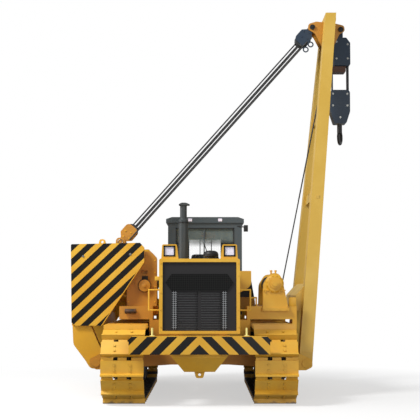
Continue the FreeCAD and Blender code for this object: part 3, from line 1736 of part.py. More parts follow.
def make_counterweight():
    """Upright cast slabs side by side between two end plates, with two lifting eyes."""
    rear_end = 2.0 * boom_middle_y - weight_front
    near = weight_front + weight_end_plate
    far = rear_end - weight_end_plate
    pieces = [slab_xz(weight_outline(), weight_front, near), slab_xz(weight_outline(), far, rear_end)]
    pitch = (weight_pack + weight_slab_gap) / weight_slabs
    thick = pitch - weight_slab_gap
    for number in range(weight_slabs):
        x = weight_outer + weight_inset + pitch * number
        corners = [
            (near, weight_bottom),
            (far, weight_bottom),
            (far, weight_top - 20.0, 30.0),
            (near, weight_top - 20.0, 30.0),
        ]
        pieces.append(slab_yz(corners, x, x + thick))
    inner = weight_outer + weight_inset + weight_pack
    for y in (boom_middle_y - tie_bar_offset, boom_middle_y + tie_bar_offset):
        for z in (weight_bottom + 180.0, weight_top - 240.0):
            pieces.append(rod(V(weight_outer + 4.0, y, z), V(inner + 16.0, y, z), tie_bar_radius))
        pieces.append(make_lifting_eye(inner - thick / 2.0, y))
    for side in (-1, 1):
        far_lug = cylinder_y + side * (lug_spread + lug_thickness)
        ends = sorted((cylinder_y + side * lug_spread, far_lug))
        corners = [
            (inner - 1.0, cylinder_eye_z - 90.0),
            (inner - 1.0, cylinder_eye_z + 90.0),
            (cylinder_eye_x + 46.0, cylinder_eye_z + 46.0, 40.0),
            (cylinder_eye_x + 46.0, cylinder_eye_z - 46.0, 40.0),
        ]
        pieces.append(slab_xz(corners, ends[0], ends[1]))
        head = V(cylinder_eye_x, far_lug, cylinder_eye_z)
        pieces.append(rod(head, head.add(V(0, side * pin_head, 0)), cylinder_pin_radius + 10.0))
    return fuse(pieces)


def make_weight_arms():
    """Two curved arms from the counterweight's underside in to the pivots."""
    x = weight_pivot_x
    z = weight_pivot_z
    arms = []
    for y in portal_ys:
        corners = [
            (weight_outer + 26.0, weight_bottom),
            (weight_outer + 40.0, z + 250.0, 120.0),
            (x - 150.0, z + 20.0, 90.0),
            (x - 86.0, z - 86.0, 84.0),
            (x + 84.0, z - 86.0, 84.0),
            (x + 84.0, z + 160.0, 60.0),
            (x + 30.0, z + 250.0, 60.0),
            (x - 84.0, weight_bottom),
        ]
        arm = slab_xz(corners, y - arm_width / 2.0, y + arm_width / 2.0)
        bore = rod(V(x, y - arm_width, z), V(x, y + arm_width, z), foot_pin_radius + pin_fit)
        arms.append(arm.cut(bore))
    return bundle(arms)


def along_cylinder(distance):
    """Point on the counterweight cylinder's line, from its foot pin."""
    along = cylinder_eye.sub(cylinder_foot).normalize()
    return cylinder_foot.add(V(along).multiply(distance))


def make_barrel():
    """Cylinder barrel with a bored foot and an open end for its rod."""
    closed = cylinder_eye.sub(cylinder_foot).Length
    end = closed - eye_radius - 10.0
    tube = rod(along_cylinder(20.0), along_cylinder(end), barrel_radius)
    cavity = along_cylinder(piston_rod_start - 4.0)
    tube = tube.cut(rod(cavity, along_cylinder(end + 1.0), piston_rod_radius + 1.0))
    half = V(0, lug_spread - 6.0, 0)
    wide = V(0, 2.0 * barrel_radius, 0)
    for side in (-1, 1):
        near = cylinder_foot.add(V(half).multiply(side))
        tube = tube.cut(rod(near, near.add(V(wide).multiply(side)), barrel_radius + 30.0))
    eye = rod(cylinder_foot.sub(half), cylinder_foot.add(half), eye_radius)
    bore = rod(cylinder_foot.sub(wide), cylinder_foot.add(wide), cylinder_pin_radius + pin_fit)
    return fuse([tube, eye]).cut(bore)


def make_piston_rod():
    """Piston rod with an eye that carries the middle of its own pin between the lugs."""
    shaft = rod(along_cylinder(piston_rod_start), cylinder_eye, piston_rod_radius)
    half = V(0, lug_spread - 8.0, 0)
    return fuse([shaft, rod(cylinder_eye.sub(half), cylinder_eye.add(half), eye_radius)])


# ---- everything, by node ------------------------------------------------------------------
def build():
    """All sub-parts by name, in the machine's own frame."""
    nodes = {}
    hull = make_hull()
    boom = make_boom()
    track_frame = make_track_frame()
    track = moved(make_track(), x=track_x)
    idler = make_idler()
    final_drive = fuse([make_final_drive(), make_sprocket(), make_drive_cap()])
    nodes["main_frame"] = hull
    nodes["front_bumper"] = make_bumper()
    nodes["front_tow_eye"] = make_front_hitch()
    nodes["equaliser_bar"] = make_crossbar(hull)
    nodes["radiator_guard"] = make_radiator_guard()
    nodes["grille"] = make_grille()
    nodes["radiator"] = make_radiator()
    nodes["hood"] = make_hood()
    nodes["engine"] = make_engine()
    nodes["exhaust_stack"] = make_stack()
    nodes["precleaner"] = make_precleaner()
    nodes["headlamps"] = make_headlamps()
    nodes["lamp_lenses"] = make_lamp_lenses()
    nodes["platform"] = make_platform()
    nodes["cab_shell"] = make_cab_shell()
    nodes["cab_roof"] = make_cab_roof()
    nodes["cab_glass"] = make_cab_glass()
    nodes["operator_seat"] = make_seat()
    nodes["cab_fittings"] = bundle([make_seat_base(), make_console()])
    nodes["hydraulic_tank"] = make_side_tank()
    nodes["side_locker"] = make_side_locker()
    nodes["fuel_tank"] = make_fuel_tank()
    nodes["drawbar"] = make_drawbar()
    nodes["handrails"] = make_handrails()
    nodes["boom_side_frame"] = make_boom_side_frame()
    nodes["weight_side_frame"] = make_weight_side_frame()
    nodes["winch_rails"] = make_winch_rails()
    nodes["hoist_winch"] = make_hoist_winch_frame()
    nodes["hoist_drum"] = make_drum(
        hoist_drum_x, hoist_drum_z, hoist_front + hoist_housing, hoist_rear - rear_plate,
        hoist_drum_radius, hoist_flange_radius)
    nodes["luff_winch"] = make_luff_winch_frame()
    nodes["luff_drum"] = make_drum(
        luff_drum_x, luff_drum_z, luff_front + luff_housing, luff_rear - rear_plate,
        luff_drum_radius, luff_flange_radius)
    nodes["cylinder_bracket"] = make_cylinder_bracket()
    nodes["tackle_tower"] = make_tackle_tower()
    nodes["track_left"] = track
    nodes["track_right"] = flipped(track)
    nodes["track_frames"] = both_sides(track_frame)
    nodes["idlers"] = both_sides(idler)
    nodes["track_rollers"] = both_sides(make_rollers())
    nodes["final_drives"] = both_sides(final_drive)
    nodes["boom_frame"] = boom
    nodes["boom_head"] = make_boom_head(boom)
    lower_lane = -2.5 * rope_lane
    upper_lane = -1.5 * rope_lane
    nodes["luff_block_lower"] = make_tackle_block(luff_anchor, luff_ear, lower_lane)
    nodes["luff_block_upper"] = make_tackle_block(luff_ear, luff_anchor, upper_lane)
    nodes["luff_ropes_lower"] = make_luff_strands(luff_anchor, luff_ear, lower_lane)
    nodes["luff_ropes_upper"] = make_luff_strands(luff_ear, luff_anchor, upper_lane)
    nodes["hoist_rope_lower"] = make_hoist_line(hoist_exit, hoist_top, hoist_strand_lower, -1)
    nodes["hoist_rope_upper"] = make_hoist_line(hoist_top, hoist_exit, hoist_strand_upper, 1)
    nodes["load_block"] = make_load_block()
    hook_block = make_hook_block()
    nodes["load_falls"] = make_falls(hook_block)
    nodes["hook_block"] = hook_block
    nodes["hook"] = make_hook()
    nodes["counterweight"] = make_counterweight()
    nodes["counterweight_arms"] = make_weight_arms()
    nodes["cylinder_barrel"] = make_barrel()
    nodes["cylinder_rod"] = make_piston_rod()
    nodes["cab_door"] = make_door()
    nodes["door_glass"] = make_door_glass()
    return nodes


def main():
    """Write each sub-part, with the origin under the middle of the whole machine."""
    os.makedirs("parts", exist_ok=True)
    nodes = build()
    whole = FreeCAD.BoundBox()
    for shape in nodes.values():
        whole.add(shape.BoundBox)
    shift = V(-whole.Center.x, -whole.Center.y, -whole.ZMin)
    for name, shape in nodes.items():
        placed = shape.copy()
        placed.translate(shift)
        placed.exportStep("parts/" + name + ".step")
    print("nodes", len(nodes), "shift", shift, "size", whole.XLength, whole.YLength, whole.ZLength)


if __name__ == "__main__":
    main()
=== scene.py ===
"""Paint, fittings, ropes and studio for a crawler pipelayer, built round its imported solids."""
import json
import math

import bpy
from bpy.props import FloatProperty, FloatVectorProperty, PointerProperty
from mathutils import Euler, Matrix, Vector


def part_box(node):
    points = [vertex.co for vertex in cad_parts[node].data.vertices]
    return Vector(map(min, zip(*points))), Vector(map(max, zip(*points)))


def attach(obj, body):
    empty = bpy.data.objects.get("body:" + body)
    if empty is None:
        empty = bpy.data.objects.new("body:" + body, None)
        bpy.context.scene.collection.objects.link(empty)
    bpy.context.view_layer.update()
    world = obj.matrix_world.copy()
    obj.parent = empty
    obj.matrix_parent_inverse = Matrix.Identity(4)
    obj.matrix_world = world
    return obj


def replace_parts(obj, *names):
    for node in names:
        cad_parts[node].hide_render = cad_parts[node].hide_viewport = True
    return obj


bl_info = {
    "name": "Crawler Pipelayer Dressing",
    "version": (1, 0, 0),
    "blender": (4, 5, 0),
    "location": "View3D > Sidebar > Pipelayer",
    "description": "Adds paint, fittings and a studio to a crawler pipelayer's solids",
    "category": "Object",
}

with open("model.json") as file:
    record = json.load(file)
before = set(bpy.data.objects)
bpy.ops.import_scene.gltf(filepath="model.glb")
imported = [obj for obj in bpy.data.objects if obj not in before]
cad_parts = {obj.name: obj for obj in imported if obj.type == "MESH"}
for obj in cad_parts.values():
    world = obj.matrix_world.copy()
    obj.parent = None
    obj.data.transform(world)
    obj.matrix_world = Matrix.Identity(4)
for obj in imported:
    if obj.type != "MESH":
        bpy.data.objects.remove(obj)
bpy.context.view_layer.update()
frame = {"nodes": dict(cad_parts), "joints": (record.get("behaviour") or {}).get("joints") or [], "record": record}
NODES = frame["nodes"]
SLOT_OF = {row["node"]: row["material_slot"] for row in frame["record"]["subparts"]}
ANCHOR = {joint["name"]: Vector(joint["pos_m"]) for joint in frame["joints"] if "pos_m" in joint}

# Sizes are in metres, but the radii of rods, rings and circles, bolt heads and rounded edges are in mm,
# and so is what a comment says is in mm.
MM = 0.001
SIDES = (-1, 1)
RIGHTWARD = Vector((1.0, 0.0, 0.0))
REARWARD = Vector((0.0, 1.0, 0.0))
UPWARD = Vector((0.0, 0.0, 1.0))
# A line that looks for a solid's face starts this far outside it.
STANDOFF = 1.0


# ---- places -------------------------------------------------------------------------------
def low(node_name):
    """Lowest corner of a solid."""
    return Vector(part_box(node_name)[0])


def high(node_name):
    """Highest corner of a solid."""
    return Vector(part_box(node_name)[1])


def middle(node_name):
    """Middle of a solid's box."""
    return (low(node_name) + high(node_name)) / 2.0


# The hull gives the machine's middle plane and its front, which every other place is taken from.
HULL_FRONT = -1.840
CENTRE_X = middle("main_frame").x
DATUM_Y = low("main_frame").y - HULL_FRONT


def at(x, y, z):
    """Point from millimetres off the middle plane, the datum and the ground."""
    return Vector((CENTRE_X + x * MM, DATUM_Y + y * MM, z * MM))


def ahead_of(node_name, x, ahead, z):
    """Point from millimetres off the middle plane, ahead of a solid's front and above the ground."""
    return Vector((CENTRE_X + x * MM, low(node_name).y - ahead * MM, z * MM))


# The chain runs round the idler and the drive on one pitch radius, in metres, with straight runs between.
PITCH_RADIUS = 0.390
LINK_PITCH = 0.216
SHOES = 38
AXLE_Z = 0.521
TRACK_SHIFT = 0.054
ARC_RUN = math.pi * PITCH_RADIUS
STRAIGHT_RUN = LINK_PITCH * SHOES / 2.0 - ARC_RUN
IDLER_Y = DATUM_Y + TRACK_SHIFT - STRAIGHT_RUN / 2.0
DRIVE_Y = DATUM_Y + TRACK_SHIFT + STRAIGHT_RUN / 2.0


# ---- colours and nodes --------------------------------------------------------------------
def linear(code):
    """Linear RGBA from an sRGB hex code."""
    channels = [int(code[i:i + 2], 16) / 255.0 for i in (1, 3, 5)]
    return [c / 12.92 if c <= 0.04045 else ((c + 0.055) / 1.055) ** 2.4 for c in channels] + [1.0]


def join(tree, socket, value):
    """Feeds a socket from another socket, or sets its value."""
    if hasattr(value, "is_output"):
        tree.links.new(value, socket)
    else:
        socket.default_value = value


def node(tree, kind, settings=None, **inputs):
    """Adds one shader node with its settings, and its inputs by name or as i0, i1 and so on."""
    made = tree.nodes.new(kind)
    for name, value in (settings or {}).items():
        setattr(made, name, value)
    for name, value in inputs.items():
        key = int(name[1:]) if name[1:].isdigit() and name[0] == "i" else name.replace("_", " ")
        join(tree, made.inputs[key], value)
    return made


def maths(tree, operation, *values):
    """One Math node on sockets or numbers."""
    inputs = {"i%d" % number: value for number, value in enumerate(values)}
    return node(tree, "ShaderNodeMath", {"operation": operation}, **inputs).outputs[0]


def mixed(tree, share, a, b):
    """Colour between two colours or sockets by a share."""
    return node(tree, "ShaderNodeMix", {"data_type": "RGBA"}, i0=share, i6=a, i7=b).outputs[2]


def place_of(tree):
    """Object coordinates of the surface, in metres."""
    return node(tree, "ShaderNodeTexCoord").outputs["Object"]


def axes_of(tree):
    """X, Y and Z of the surface's place, as sockets."""
    return node(tree, "ShaderNodeSeparateXYZ", Vector=place_of(tree)).outputs


def off_middle(tree):
    """How far the surface stands from the machine's middle plane, on either side."""
    return maths(tree, "ABSOLUTE", maths(tree, "SUBTRACT", axes_of(tree)["X"], CENTRE_X))


def span(tree, a, b):
    """Length of a flat step that goes a one way and b square to it."""
    squares = maths(tree, "ADD", maths(tree, "POWER", a, 2.0), maths(tree, "POWER", b, 2.0))
    return maths(tree, "SQRT", squares)


def facing(tree, axis):
    """How far the surface faces along an axis, either way, from 0 to 1."""
    normal = node(tree, "ShaderNodeNewGeometry").outputs["True Normal"]
    return maths(tree, "ABSOLUTE", node(tree, "ShaderNodeSeparateXYZ", Vector=normal).outputs[axis])


def fade(tree, value, start, end):
    """Share that rises from 0 at one value to 1 at another."""
    return node(tree, "ShaderNodeMapRange", i0=value, From_Min=start, From_Max=end).outputs[0]


def noise(tree, size_mm, detail):
    """Random field whose lumps have a size in millimetres."""
    scale = 1.0 / (size_mm * MM)
    return node(tree, "ShaderNodeTexNoise", Vector=place_of(tree), Scale=scale, Detail=detail).outputs["Fac"]


def cloud(tree, size_mm, low_cut, high_cut, detail=4.0):
    """Soft patches of a size in millimetres, as a share from 0 to 1."""
    return fade(tree, noise(tree, size_mm, detail), low_cut, high_cut)


def dent(tree, shader, height, depth_mm):
    """Feeds a bump of a real depth into a shader."""
    bump = node(tree, "ShaderNodeBump", Strength=1.0, Distance=depth_mm * MM, Height=height)
    join(tree, shader.inputs["Normal"], bump.outputs["Normal"])


def new_material(name, colour, roughness, metallic=0.0, **more):
    """A Principled material, its tree and its shader node."""
    material = bpy.data.materials.new(name)
    material.use_nodes = True
    tree = material.node_tree
    shader = tree.nodes["Principled BSDF"]
    shader.inputs["Base Color"].default_value = colour
    shader.inputs["Roughness"].default_value = roughness
    shader.inputs["Metallic"].default_value = metallic
    for key, value in more.items():
        shader.inputs[key.replace("_", " ")].default_value = value
    return material, tree, shader


def surface(tree, shader):
    """Puts a shader at the end of a material."""
    join(tree, tree.nodes["Material Output"].inputs["Surface"], shader.outputs[0])


# ---- settings -----------------------------------------------------------------------------
class PipelayerColours(bpy.types.PropertyGroup):
    """Coats that a user would change."""
    body: FloatVectorProperty(
        name="Body", description="Fresh enamel on the body", default=linear("#D6A02C"),
        subtype="COLOR", size=4)
    body_faded: FloatVectorProperty(
        name="Faded body", description="The body's enamel where the sun has bleached it",
        default=linear("#E0B23F"), subtype="COLOR", size=4)
    boom: FloatVectorProperty(
        name="Boom", description="Fresh enamel on the boom", default=linear("#C9A345"),
        subtype="COLOR", size=4)
    boom_faded: FloatVectorProperty(
        name="Faded boom", description="The boom's enamel where the sun has bleached it",
        default=linear("#D2AE54"), subtype="COLOR", size=4)
    dust: FloatVectorProperty(
        name="Dust", description="Enamel under dust, near the ground", default=linear("#B88530"),
        subtype="COLOR", size=4)
    # A deeper, more orange yellow that stands in for shade on the winch side's parts: painted shade.
    amber: FloatVectorProperty(
        name="Winch side", description="Enamel on the luffing winch and its frame", default=linear("#BE842A"),
        subtype="COLOR", size=4)
    stripes: FloatVectorProperty(
        name="Stripes", description="Hazard bars on bumper and counterweight", default=linear("#0E0B09"),
        subtype="COLOR", size=4)
    cab: FloatVectorProperty(
        name="Cab", description="Enamel on the cab", default=linear("#434C50"), subtype="COLOR", size=4)
    blocks: FloatVectorProperty(
        name="Blocks", description="Enamel on the rope blocks", default=linear("#2B394A"),
        subtype="COLOR", size=4)


class PipelayerSizes(bpy.types.PropertyGroup):
    """Sizes of fittings that a user would change."""
    shoe_bolt: FloatProperty(
        name="Shoe bolt", description="Radius of a track shoe's bolt head", default=0.015, unit="LENGTH")
    sheave: FloatProperty(
        name="Sheave", description="Radius of a luffing block's sheave", default=0.090, unit="LENGTH")
    rope: FloatProperty(
        name="Rope", description="Radius of a part of line", default=0.0095, unit="LENGTH")


class PipelayerStage(bpy.types.PropertyGroup):
    """Light and lens that a user would change."""
    key_power: FloatProperty(
        name="Key light", description="Power of the main soft light", default=1350.0, unit="POWER")
    sky: FloatProperty(name="Sky", description="Strength of the even light from all round", default=0.42)
    lens: FloatProperty(name="Lens", description="Focal length of the camera", default=80.6, unit="CAMERA")


# ---- materials ----------------------------------------------------------------------------
MATERIALS = {}
SOFT_SHINE = 0.42
DRY_SHINE = 0.45
SPRAYED = {"Specular_IOR_Level": 0.3}
# Near black that stands in for the shade inside the tracks and between them: painted shade.
INNER_SHADE = linear("#1B1916")
SOIL = linear("#6E5A41")
# Patches have a size in mm, the strengths that they start and are full at, and a fineness.
SUN_PATCHES = (520.0, 0.42, 0.72)
DUST_PATCHES = (130.0, 0.45, 0.7, 6.0)
BLOOM_PATCHES = (210.0, 0.45, 0.75, 6.0)
AMBER_PATCHES = (160.0, 0.45, 0.7, 6.0)
SOIL_PATCHES = (90.0, 0.3, 0.7)
OIL_PATCHES = (60.0, 0.3, 0.7)
RUST_PATCHES = (70.0, 0.4, 0.68, 8.0)
GLASS_PATCHES = (300.0, 0.35, 0.65)
# Grain has a size in mm and a fineness, and a depth in mm.
PEEL_GRAIN = (9.0, 1.0)
PEEL_DEPTH = 0.12
CAST_GRAIN = (4.0, 3.0)
CAST_DEPTH = 0.6
# Dust lies on the lowest 1.3 m, hides up to this share of a coat and makes it this much duller.
DUST_TOP = 1.3
DUST_SHARE = 0.55
DUST_DULLS = 0.35


def enamelled(tree, shader, roughness, fresh, faded, dusty):
    """Yellow enamel's colour: a faded bloom, with dust that gathers towards the ground."""
    sun = mixed(tree, cloud(tree, *SUN_PATCHES), fresh, faded)
    height = fade(tree, axes_of(tree)["Z"], DUST_TOP, 0.0)
    patches = cloud(tree, *DUST_PATCHES)
    dust = maths(tree, "MULTIPLY", maths(tree, "MULTIPLY", height, patches), DUST_SHARE)
    join(tree, shader.inputs["Roughness"], maths(tree, "MULTIPLY_ADD", dust, DUST_DULLS, roughness))
    return mixed(tree, dust, sun, dusty)


def body_coat(tree, shader, roughness, coats):
    """The body's yellow enamel as a colour."""
    return enamelled(tree, shader, roughness, coats.body, coats.body_faded, coats.dust)


def orange_peel(tree, shader):
    """The faint ripple that a sprayed coat dries to."""
    dent(tree, shader, noise(tree, *PEEL_GRAIN), PEEL_DEPTH)


def yellow_enamel(coats):
    """Chrome-yellow machine enamel, sprayed: an even warm skin with a soft shine and faint ripple."""
    material, tree, shader = new_material("chrome_yellow_enamel", coats.body, SOFT_SHINE, **SPRAYED)
    join(tree, shader.inputs["Base Color"], body_coat(tree, shader, SOFT_SHINE, coats))
    orange_peel(tree, shader)
    return material


def bleached_enamel(coats):
    """The boom's own enamel, out in the sun for longer: a paler and drier yellow than the body's."""
    material, tree, shader = new_material("bleached_yellow_enamel", coats.boom, DRY_SHINE, **SPRAYED)
    coat = enamelled(tree, shader, DRY_SHINE, coats.boom, coats.boom_faded, coats.dust)
    join(tree, shader.inputs["Base Color"], coat)
    orange_peel(tree, shader)
    return material


# Bars are dark over a little more than half of each repeat, and only on faces that look ahead or back.
BAR_SHARE = 0.48
FLAT_ON = 0.9


def barred(tree, shader, coats, wave, region, base):
    """Hazard bars masked and sprayed over a coat: crisp-edged black on a flat face."""
    bars = maths(tree, "GREATER_THAN", wave, BAR_SHARE)
    bars = maths(tree, "MULTIPLY", bars, maths(tree, "GREATER_THAN", facing(tree, "Y"), FLAT_ON))
    bars = maths(tree, "MULTIPLY", bars, region)
    join(tree, shader.inputs["Base Color"], mixed(tree, bars, base, coats.stripes))
    orange_peel(tree, shader)


# The bars' repeat, the share of it that they are shifted by, and the plain rim above them.
BUMPER_PITCH = 0.2555
BUMPER_PHASE = 0.5
BUMPER_RIM = 0.008
# The posts stand this far above the bumper's beam.
POST_RISE = 0.105


def bumper_enamel(coats):
    """Yellow enamel with bars that lean up to the middle, under a plain rim, and pale posts on top."""
    material, tree, shader = new_material("striped_bumper_enamel", coats.body, SOFT_SHINE, **SPRAYED)
    coat = body_coat(tree, shader, SOFT_SHINE, coats)
    height = axes_of(tree)["Z"]
    along = maths(tree, "ADD", off_middle(tree), maths(tree, "SUBTRACT", height, low("front_bumper").z))
    wave = maths(tree, "FRACT", maths(tree, "MULTIPLY_ADD", along, 1.0 / BUMPER_PITCH, BUMPER_PHASE))
    top = high("front_bumper").z - POST_RISE
    posts = maths(tree, "GREATER_THAN", height, top + MM)
    region = maths(tree, "LESS_THAN", height, top - BUMPER_RIM)
    barred(tree, shader, coats, wave, region, mixed(tree, posts, coat, linear("#EFE08C")))
    return material


# Bars rise by the lean for each metre to the inner side.
WEIGHT_PITCH = 0.2105
WEIGHT_LEAN = 0.95
WEIGHT_PHASE = 0.62
WEIGHT_RIM = 0.012
# The end plates' inner edge leans towards the machine by this much over this height. Only faces that lie
# within the depth of the front or rear end carry bars.
PLATE_SLANT = 0.583
PLATE_HEIGHT = 0.885
PLATE_DEPTH = 0.003


def weight_enamel(coats):
    """Yellow enamel with bars that rise to the inner side, on the counterweight's end plates only."""
    material, tree, shader = new_material("striped_weight_enamel", coats.body, SOFT_SHINE, **SPRAYED)
    coat = body_coat(tree, shader, SOFT_SHINE, coats)
    corner = low("counterweight")
    opposite = high("counterweight")
    axes = axes_of(tree)
    height = maths(tree, "SUBTRACT", axes["Z"], corner.z)
    rise = maths(tree, "MULTIPLY", maths(tree, "SUBTRACT", axes["X"], corner.x), WEIGHT_LEAN)
    along = maths(tree, "SUBTRACT", height, rise)
    wave = maths(tree, "FRACT", maths(tree, "MULTIPLY_ADD", along, 1.0 / WEIGHT_PITCH, WEIGHT_PHASE))
    off = maths(tree, "ABSOLUTE", maths(tree, "SUBTRACT", axes["Y"], (corner.y + opposite.y) / 2.0))
    ends = maths(tree, "GREATER_THAN", off, (opposite.y - corner.y) / 2.0 - PLATE_DEPTH)
    slant = maths(tree, "MULTIPLY", height, PLATE_SLANT / PLATE_HEIGHT)
    edge = maths(tree, "ADD", slant, opposite.x - PLATE_SLANT - WEIGHT_RIM)
    region = maths(tree, "MULTIPLY", ends, maths(tree, "LESS_THAN", axes["X"], edge))
    barred(tree, shader, coats, wave, region, coat)
    return material


BLOOM_SHARE = 0.12


def bloomed_coat(name, colour, roughness, clear_coat=0.0):
    """A plain sprayed coat with a dry bloom of dust, which greys it in patches."""
    material, tree, shader = new_material(name, colour, roughness, Coat_Weight=clear_coat, **SPRAYED)
    patches = maths(tree, "MULTIPLY", cloud(tree, *BLOOM_PATCHES), BLOOM_SHARE)
    join(tree, shader.inputs["Base Color"], mixed(tree, patches, colour, linear("#5E5A54")))
    orange_peel(tree, shader)
    return material


# The holes' pitch, and their radius as a share of it.
HOLE_PITCH = 0.028
HOLE_SHARE = 0.40
# Holes show on the raised panel, within this depth of the sheet's front, and on strips between these depths.
RAISED_DEPTH = 0.001
STRIP_DEPTH = (0.005, 0.007)


def grille_sheet():
    """Pressed and punched grille sheet, charcoal: rows of round holes, painted near black as the shade seen
    through them, on its panel and side strips.
    """
    sheet = linear("#2D2C2D")
    material, tree, shader = new_material("punched_charcoal_sheet", sheet, 0.6, Specular_IOR_Level=0.15)
    axes = axes_of(tree)
    column = maths(tree, "PINGPONG", maths(tree, "DIVIDE", axes["X"], HOLE_PITCH), 0.5)
    row = maths(tree, "PINGPONG", maths(tree, "DIVIDE", axes["Z"], HOLE_PITCH), 0.5)
    hole = maths(tree, "LESS_THAN", span(tree, column, row), HOLE_SHARE)
    front = low("grille").y
    raised = maths(tree, "LESS_THAN", axes["Y"], front + RAISED_DEPTH)
    strips = maths(tree, "MULTIPLY", maths(tree, "GREATER_THAN", axes["Y"], front + STRIP_DEPTH[0]),
                   maths(tree, "LESS_THAN", axes["Y"], front + STRIP_DEPTH[1]))
    hole_shade = maths(tree, "MULTIPLY", hole, maths(tree, "ADD", raised, strips))
    plain = mixed(tree, raised, sheet, linear("#191A19"))
    plain = mixed(tree, strips, plain, linear("#808284"))
    # Painted shade: each hole is painted near black, as the dark seen through it.
    join(tree, shader.inputs["Base Color"], mixed(tree, hole_shade, plain, linear("#050506")))
    return material


# Strands of a 19 mm rope lie about 16 mm apart; their ridges are drawn 3 mm deep, so that they show.
STRAND_LAY = 16.0
STRAND_RIDGE = 3.0


def wire_rope(name, along):
    """Greased steel wire rope, laid up from strands: dark, with a slanting ridge at every strand, its colour
    darker in the grooves and lighter on the crowns as painted shade and painted highlight.
    """
    material, tree, shader = new_material(name, linear("#3A3A3B"), 0.5, 0.35)
    direction = Vector(along).normalized()
    place = place_of(tree)
    dot = {"operation": "DOT_PRODUCT"}
    run = node(tree, "ShaderNodeVectorMath", dot, i0=place, i1=direction).outputs["Value"]
    turn = node(tree, "ShaderNodeVectorMath", dot, i0=place, i1=direction.cross(REARWARD)).outputs["Value"]
    lay = maths(tree, "FRACT", maths(tree, "DIVIDE", maths(tree, "ADD", run, turn), STRAND_LAY * MM))
    ridge = maths(tree, "PINGPONG", lay, 0.5)
    dent(tree, shader, ridge, STRAND_RIDGE)
    # Painted shade and painted highlight: the colour is darker in the grooves between strands and lighter on their
    # crowns.
    join(tree, shader.inputs["Base Color"], mixed(tree, ridge, linear("#222325"), linear("#565657")))
    return material


OILED_SHINE = 0.25
OIL_DULLS = 0.2


def machined_steel():
    """Turned bare steel under a film of oil: bright, and unevenly dull where the film is thick."""
    material, tree, shader = new_material("machined_steel", linear("#9A9A96"), 0.32, 1.0)
    film = cloud(tree, *OIL_PATCHES)
    join(tree, shader.inputs["Roughness"], maths(tree, "MULTIPLY_ADD", film, OIL_DULLS, OILED_SHINE))
    return material


def cast_steel():
    """Cast steel left rough, browned by weather: dull and finely pitted."""
    material, tree, shader = new_material("weathered_cast_steel", linear("#4A4038"), 0.65, 0.4)
    rust = mixed(tree, cloud(tree, *RUST_PATCHES), linear("#3B3632"), linear("#6A4630"))
    join(tree, shader.inputs["Base Color"], rust)
    dent(tree, shader, noise(tree, *CAST_GRAIN), CAST_DEPTH)
    return material


TRACK_HALF_GAUGE = 1.0
CHAIN_HALF = 0.12
# Painted shade reaches this far outside the chain's pitch line, and soil thickens between these heights.
SHADE_OVER = 0.058
SOIL_HEIGHT = (0.06, 0.02)
SOIL_RAGGED = 0.05


def track_enamel(coats):
    """Yellow enamel on the shoes, with the chain and the inner edges painted near black as shade, and soil caked
    on the lowest edges.
    """
    material, tree, shader = new_material("worn_track_enamel", coats.body, DRY_SHINE)
    coat = body_coat(tree, shader, DRY_SHINE, coats)
    axes = axes_of(tree)
    inward = maths(tree, "LESS_THAN", off_middle(tree), TRACK_HALF_GAUGE + CHAIN_HALF)
    edge = maths(tree, "MULTIPLY", inward, maths(tree, "GREATER_THAN", facing(tree, "X"), 0.5))
    along = maths(tree, "ABSOLUTE", maths(tree, "SUBTRACT", axes["Y"], DATUM_Y + TRACK_SHIFT))
    ahead = maths(tree, "MAXIMUM", maths(tree, "SUBTRACT", along, STRAIGHT_RUN / 2.0), 0.0)
    reach = span(tree, ahead, maths(tree, "SUBTRACT", axes["Z"], AXLE_Z))
    # Painted shade: the chain round its pitch line and the faces that look inwards go near black.
    shaded = maths(tree, "MAXIMUM", edge, maths(tree, "LESS_THAN", reach, PITCH_RADIUS + SHADE_OVER))
    ragged = maths(tree, "MULTIPLY", cloud(tree, *SOIL_PATCHES), SOIL_RAGGED)
    soil = fade(tree, maths(tree, "ADD", axes["Z"], ragged), *SOIL_HEIGHT)
    coat = mixed(tree, shaded, coat, INNER_SHADE)
    join(tree, shader.inputs["Base Color"], mixed(tree, soil, coat, SOIL))
    return material


def inner_shade_enamel(coats):
    """Yellow enamel whose inner side, between the tracks, is painted near black as shade."""
    material, tree, shader = new_material("yellow_enamel_inner_shade", coats.body, DRY_SHINE)
    coat = body_coat(tree, shader, DRY_SHINE, coats)
    inner = maths(tree, "LESS_THAN", off_middle(tree), TRACK_HALF_GAUGE)
    join(tree, shader.inputs["Base Color"], mixed(tree, inner, coat, INNER_SHADE))
    return material


# Where the painted reflection's band fades in at the top of the panes, the share of the pane that mirrors, and the
# painted reflection's share in and below the band.
SHEEN_BAND = (2.22, 2.29)
MIRROR_SHARE = 0.06
SHEEN_SHARE = 0.5
SHEEN_BELOW = 0.015


def pane():
    """Toughened clear glass: see-through, with a grey-green diffuse film along the top of the panes as painted
    reflection.
    """
    material, tree, shader = new_material(
        "toughened_glass", linear("#FAFCFB"), 0.0, IOR=1.45, Transmission_Weight=1.0)
    # A grey-green diffuse film stands in for the glass's reflection: painted reflection, strongest along the top
    # and faint below, in patches.
    film = node(tree, "ShaderNodeBsdfDiffuse", Color=linear("#7C8886"))
    clear = node(tree, "ShaderNodeBsdfTransparent")
    through = node(tree, "ShaderNodeMixShader", i0=MIRROR_SHARE, i1=clear.outputs[0], i2=shader.outputs[0])
    band = fade(tree, axes_of(tree)["Z"], *SHEEN_BAND)
    patches = maths(tree, "MULTIPLY_ADD", cloud(tree, *GLASS_PATCHES), 0.5, 0.5)
    share = maths(tree, "MULTIPLY", maths(tree, "MULTIPLY_ADD", band, SHEEN_SHARE, SHEEN_BELOW), patches)
    surface(tree, node(tree, "ShaderNodeMixShader", i0=share, i1=through.outputs[0], i2=film.outputs[0]))
    return material


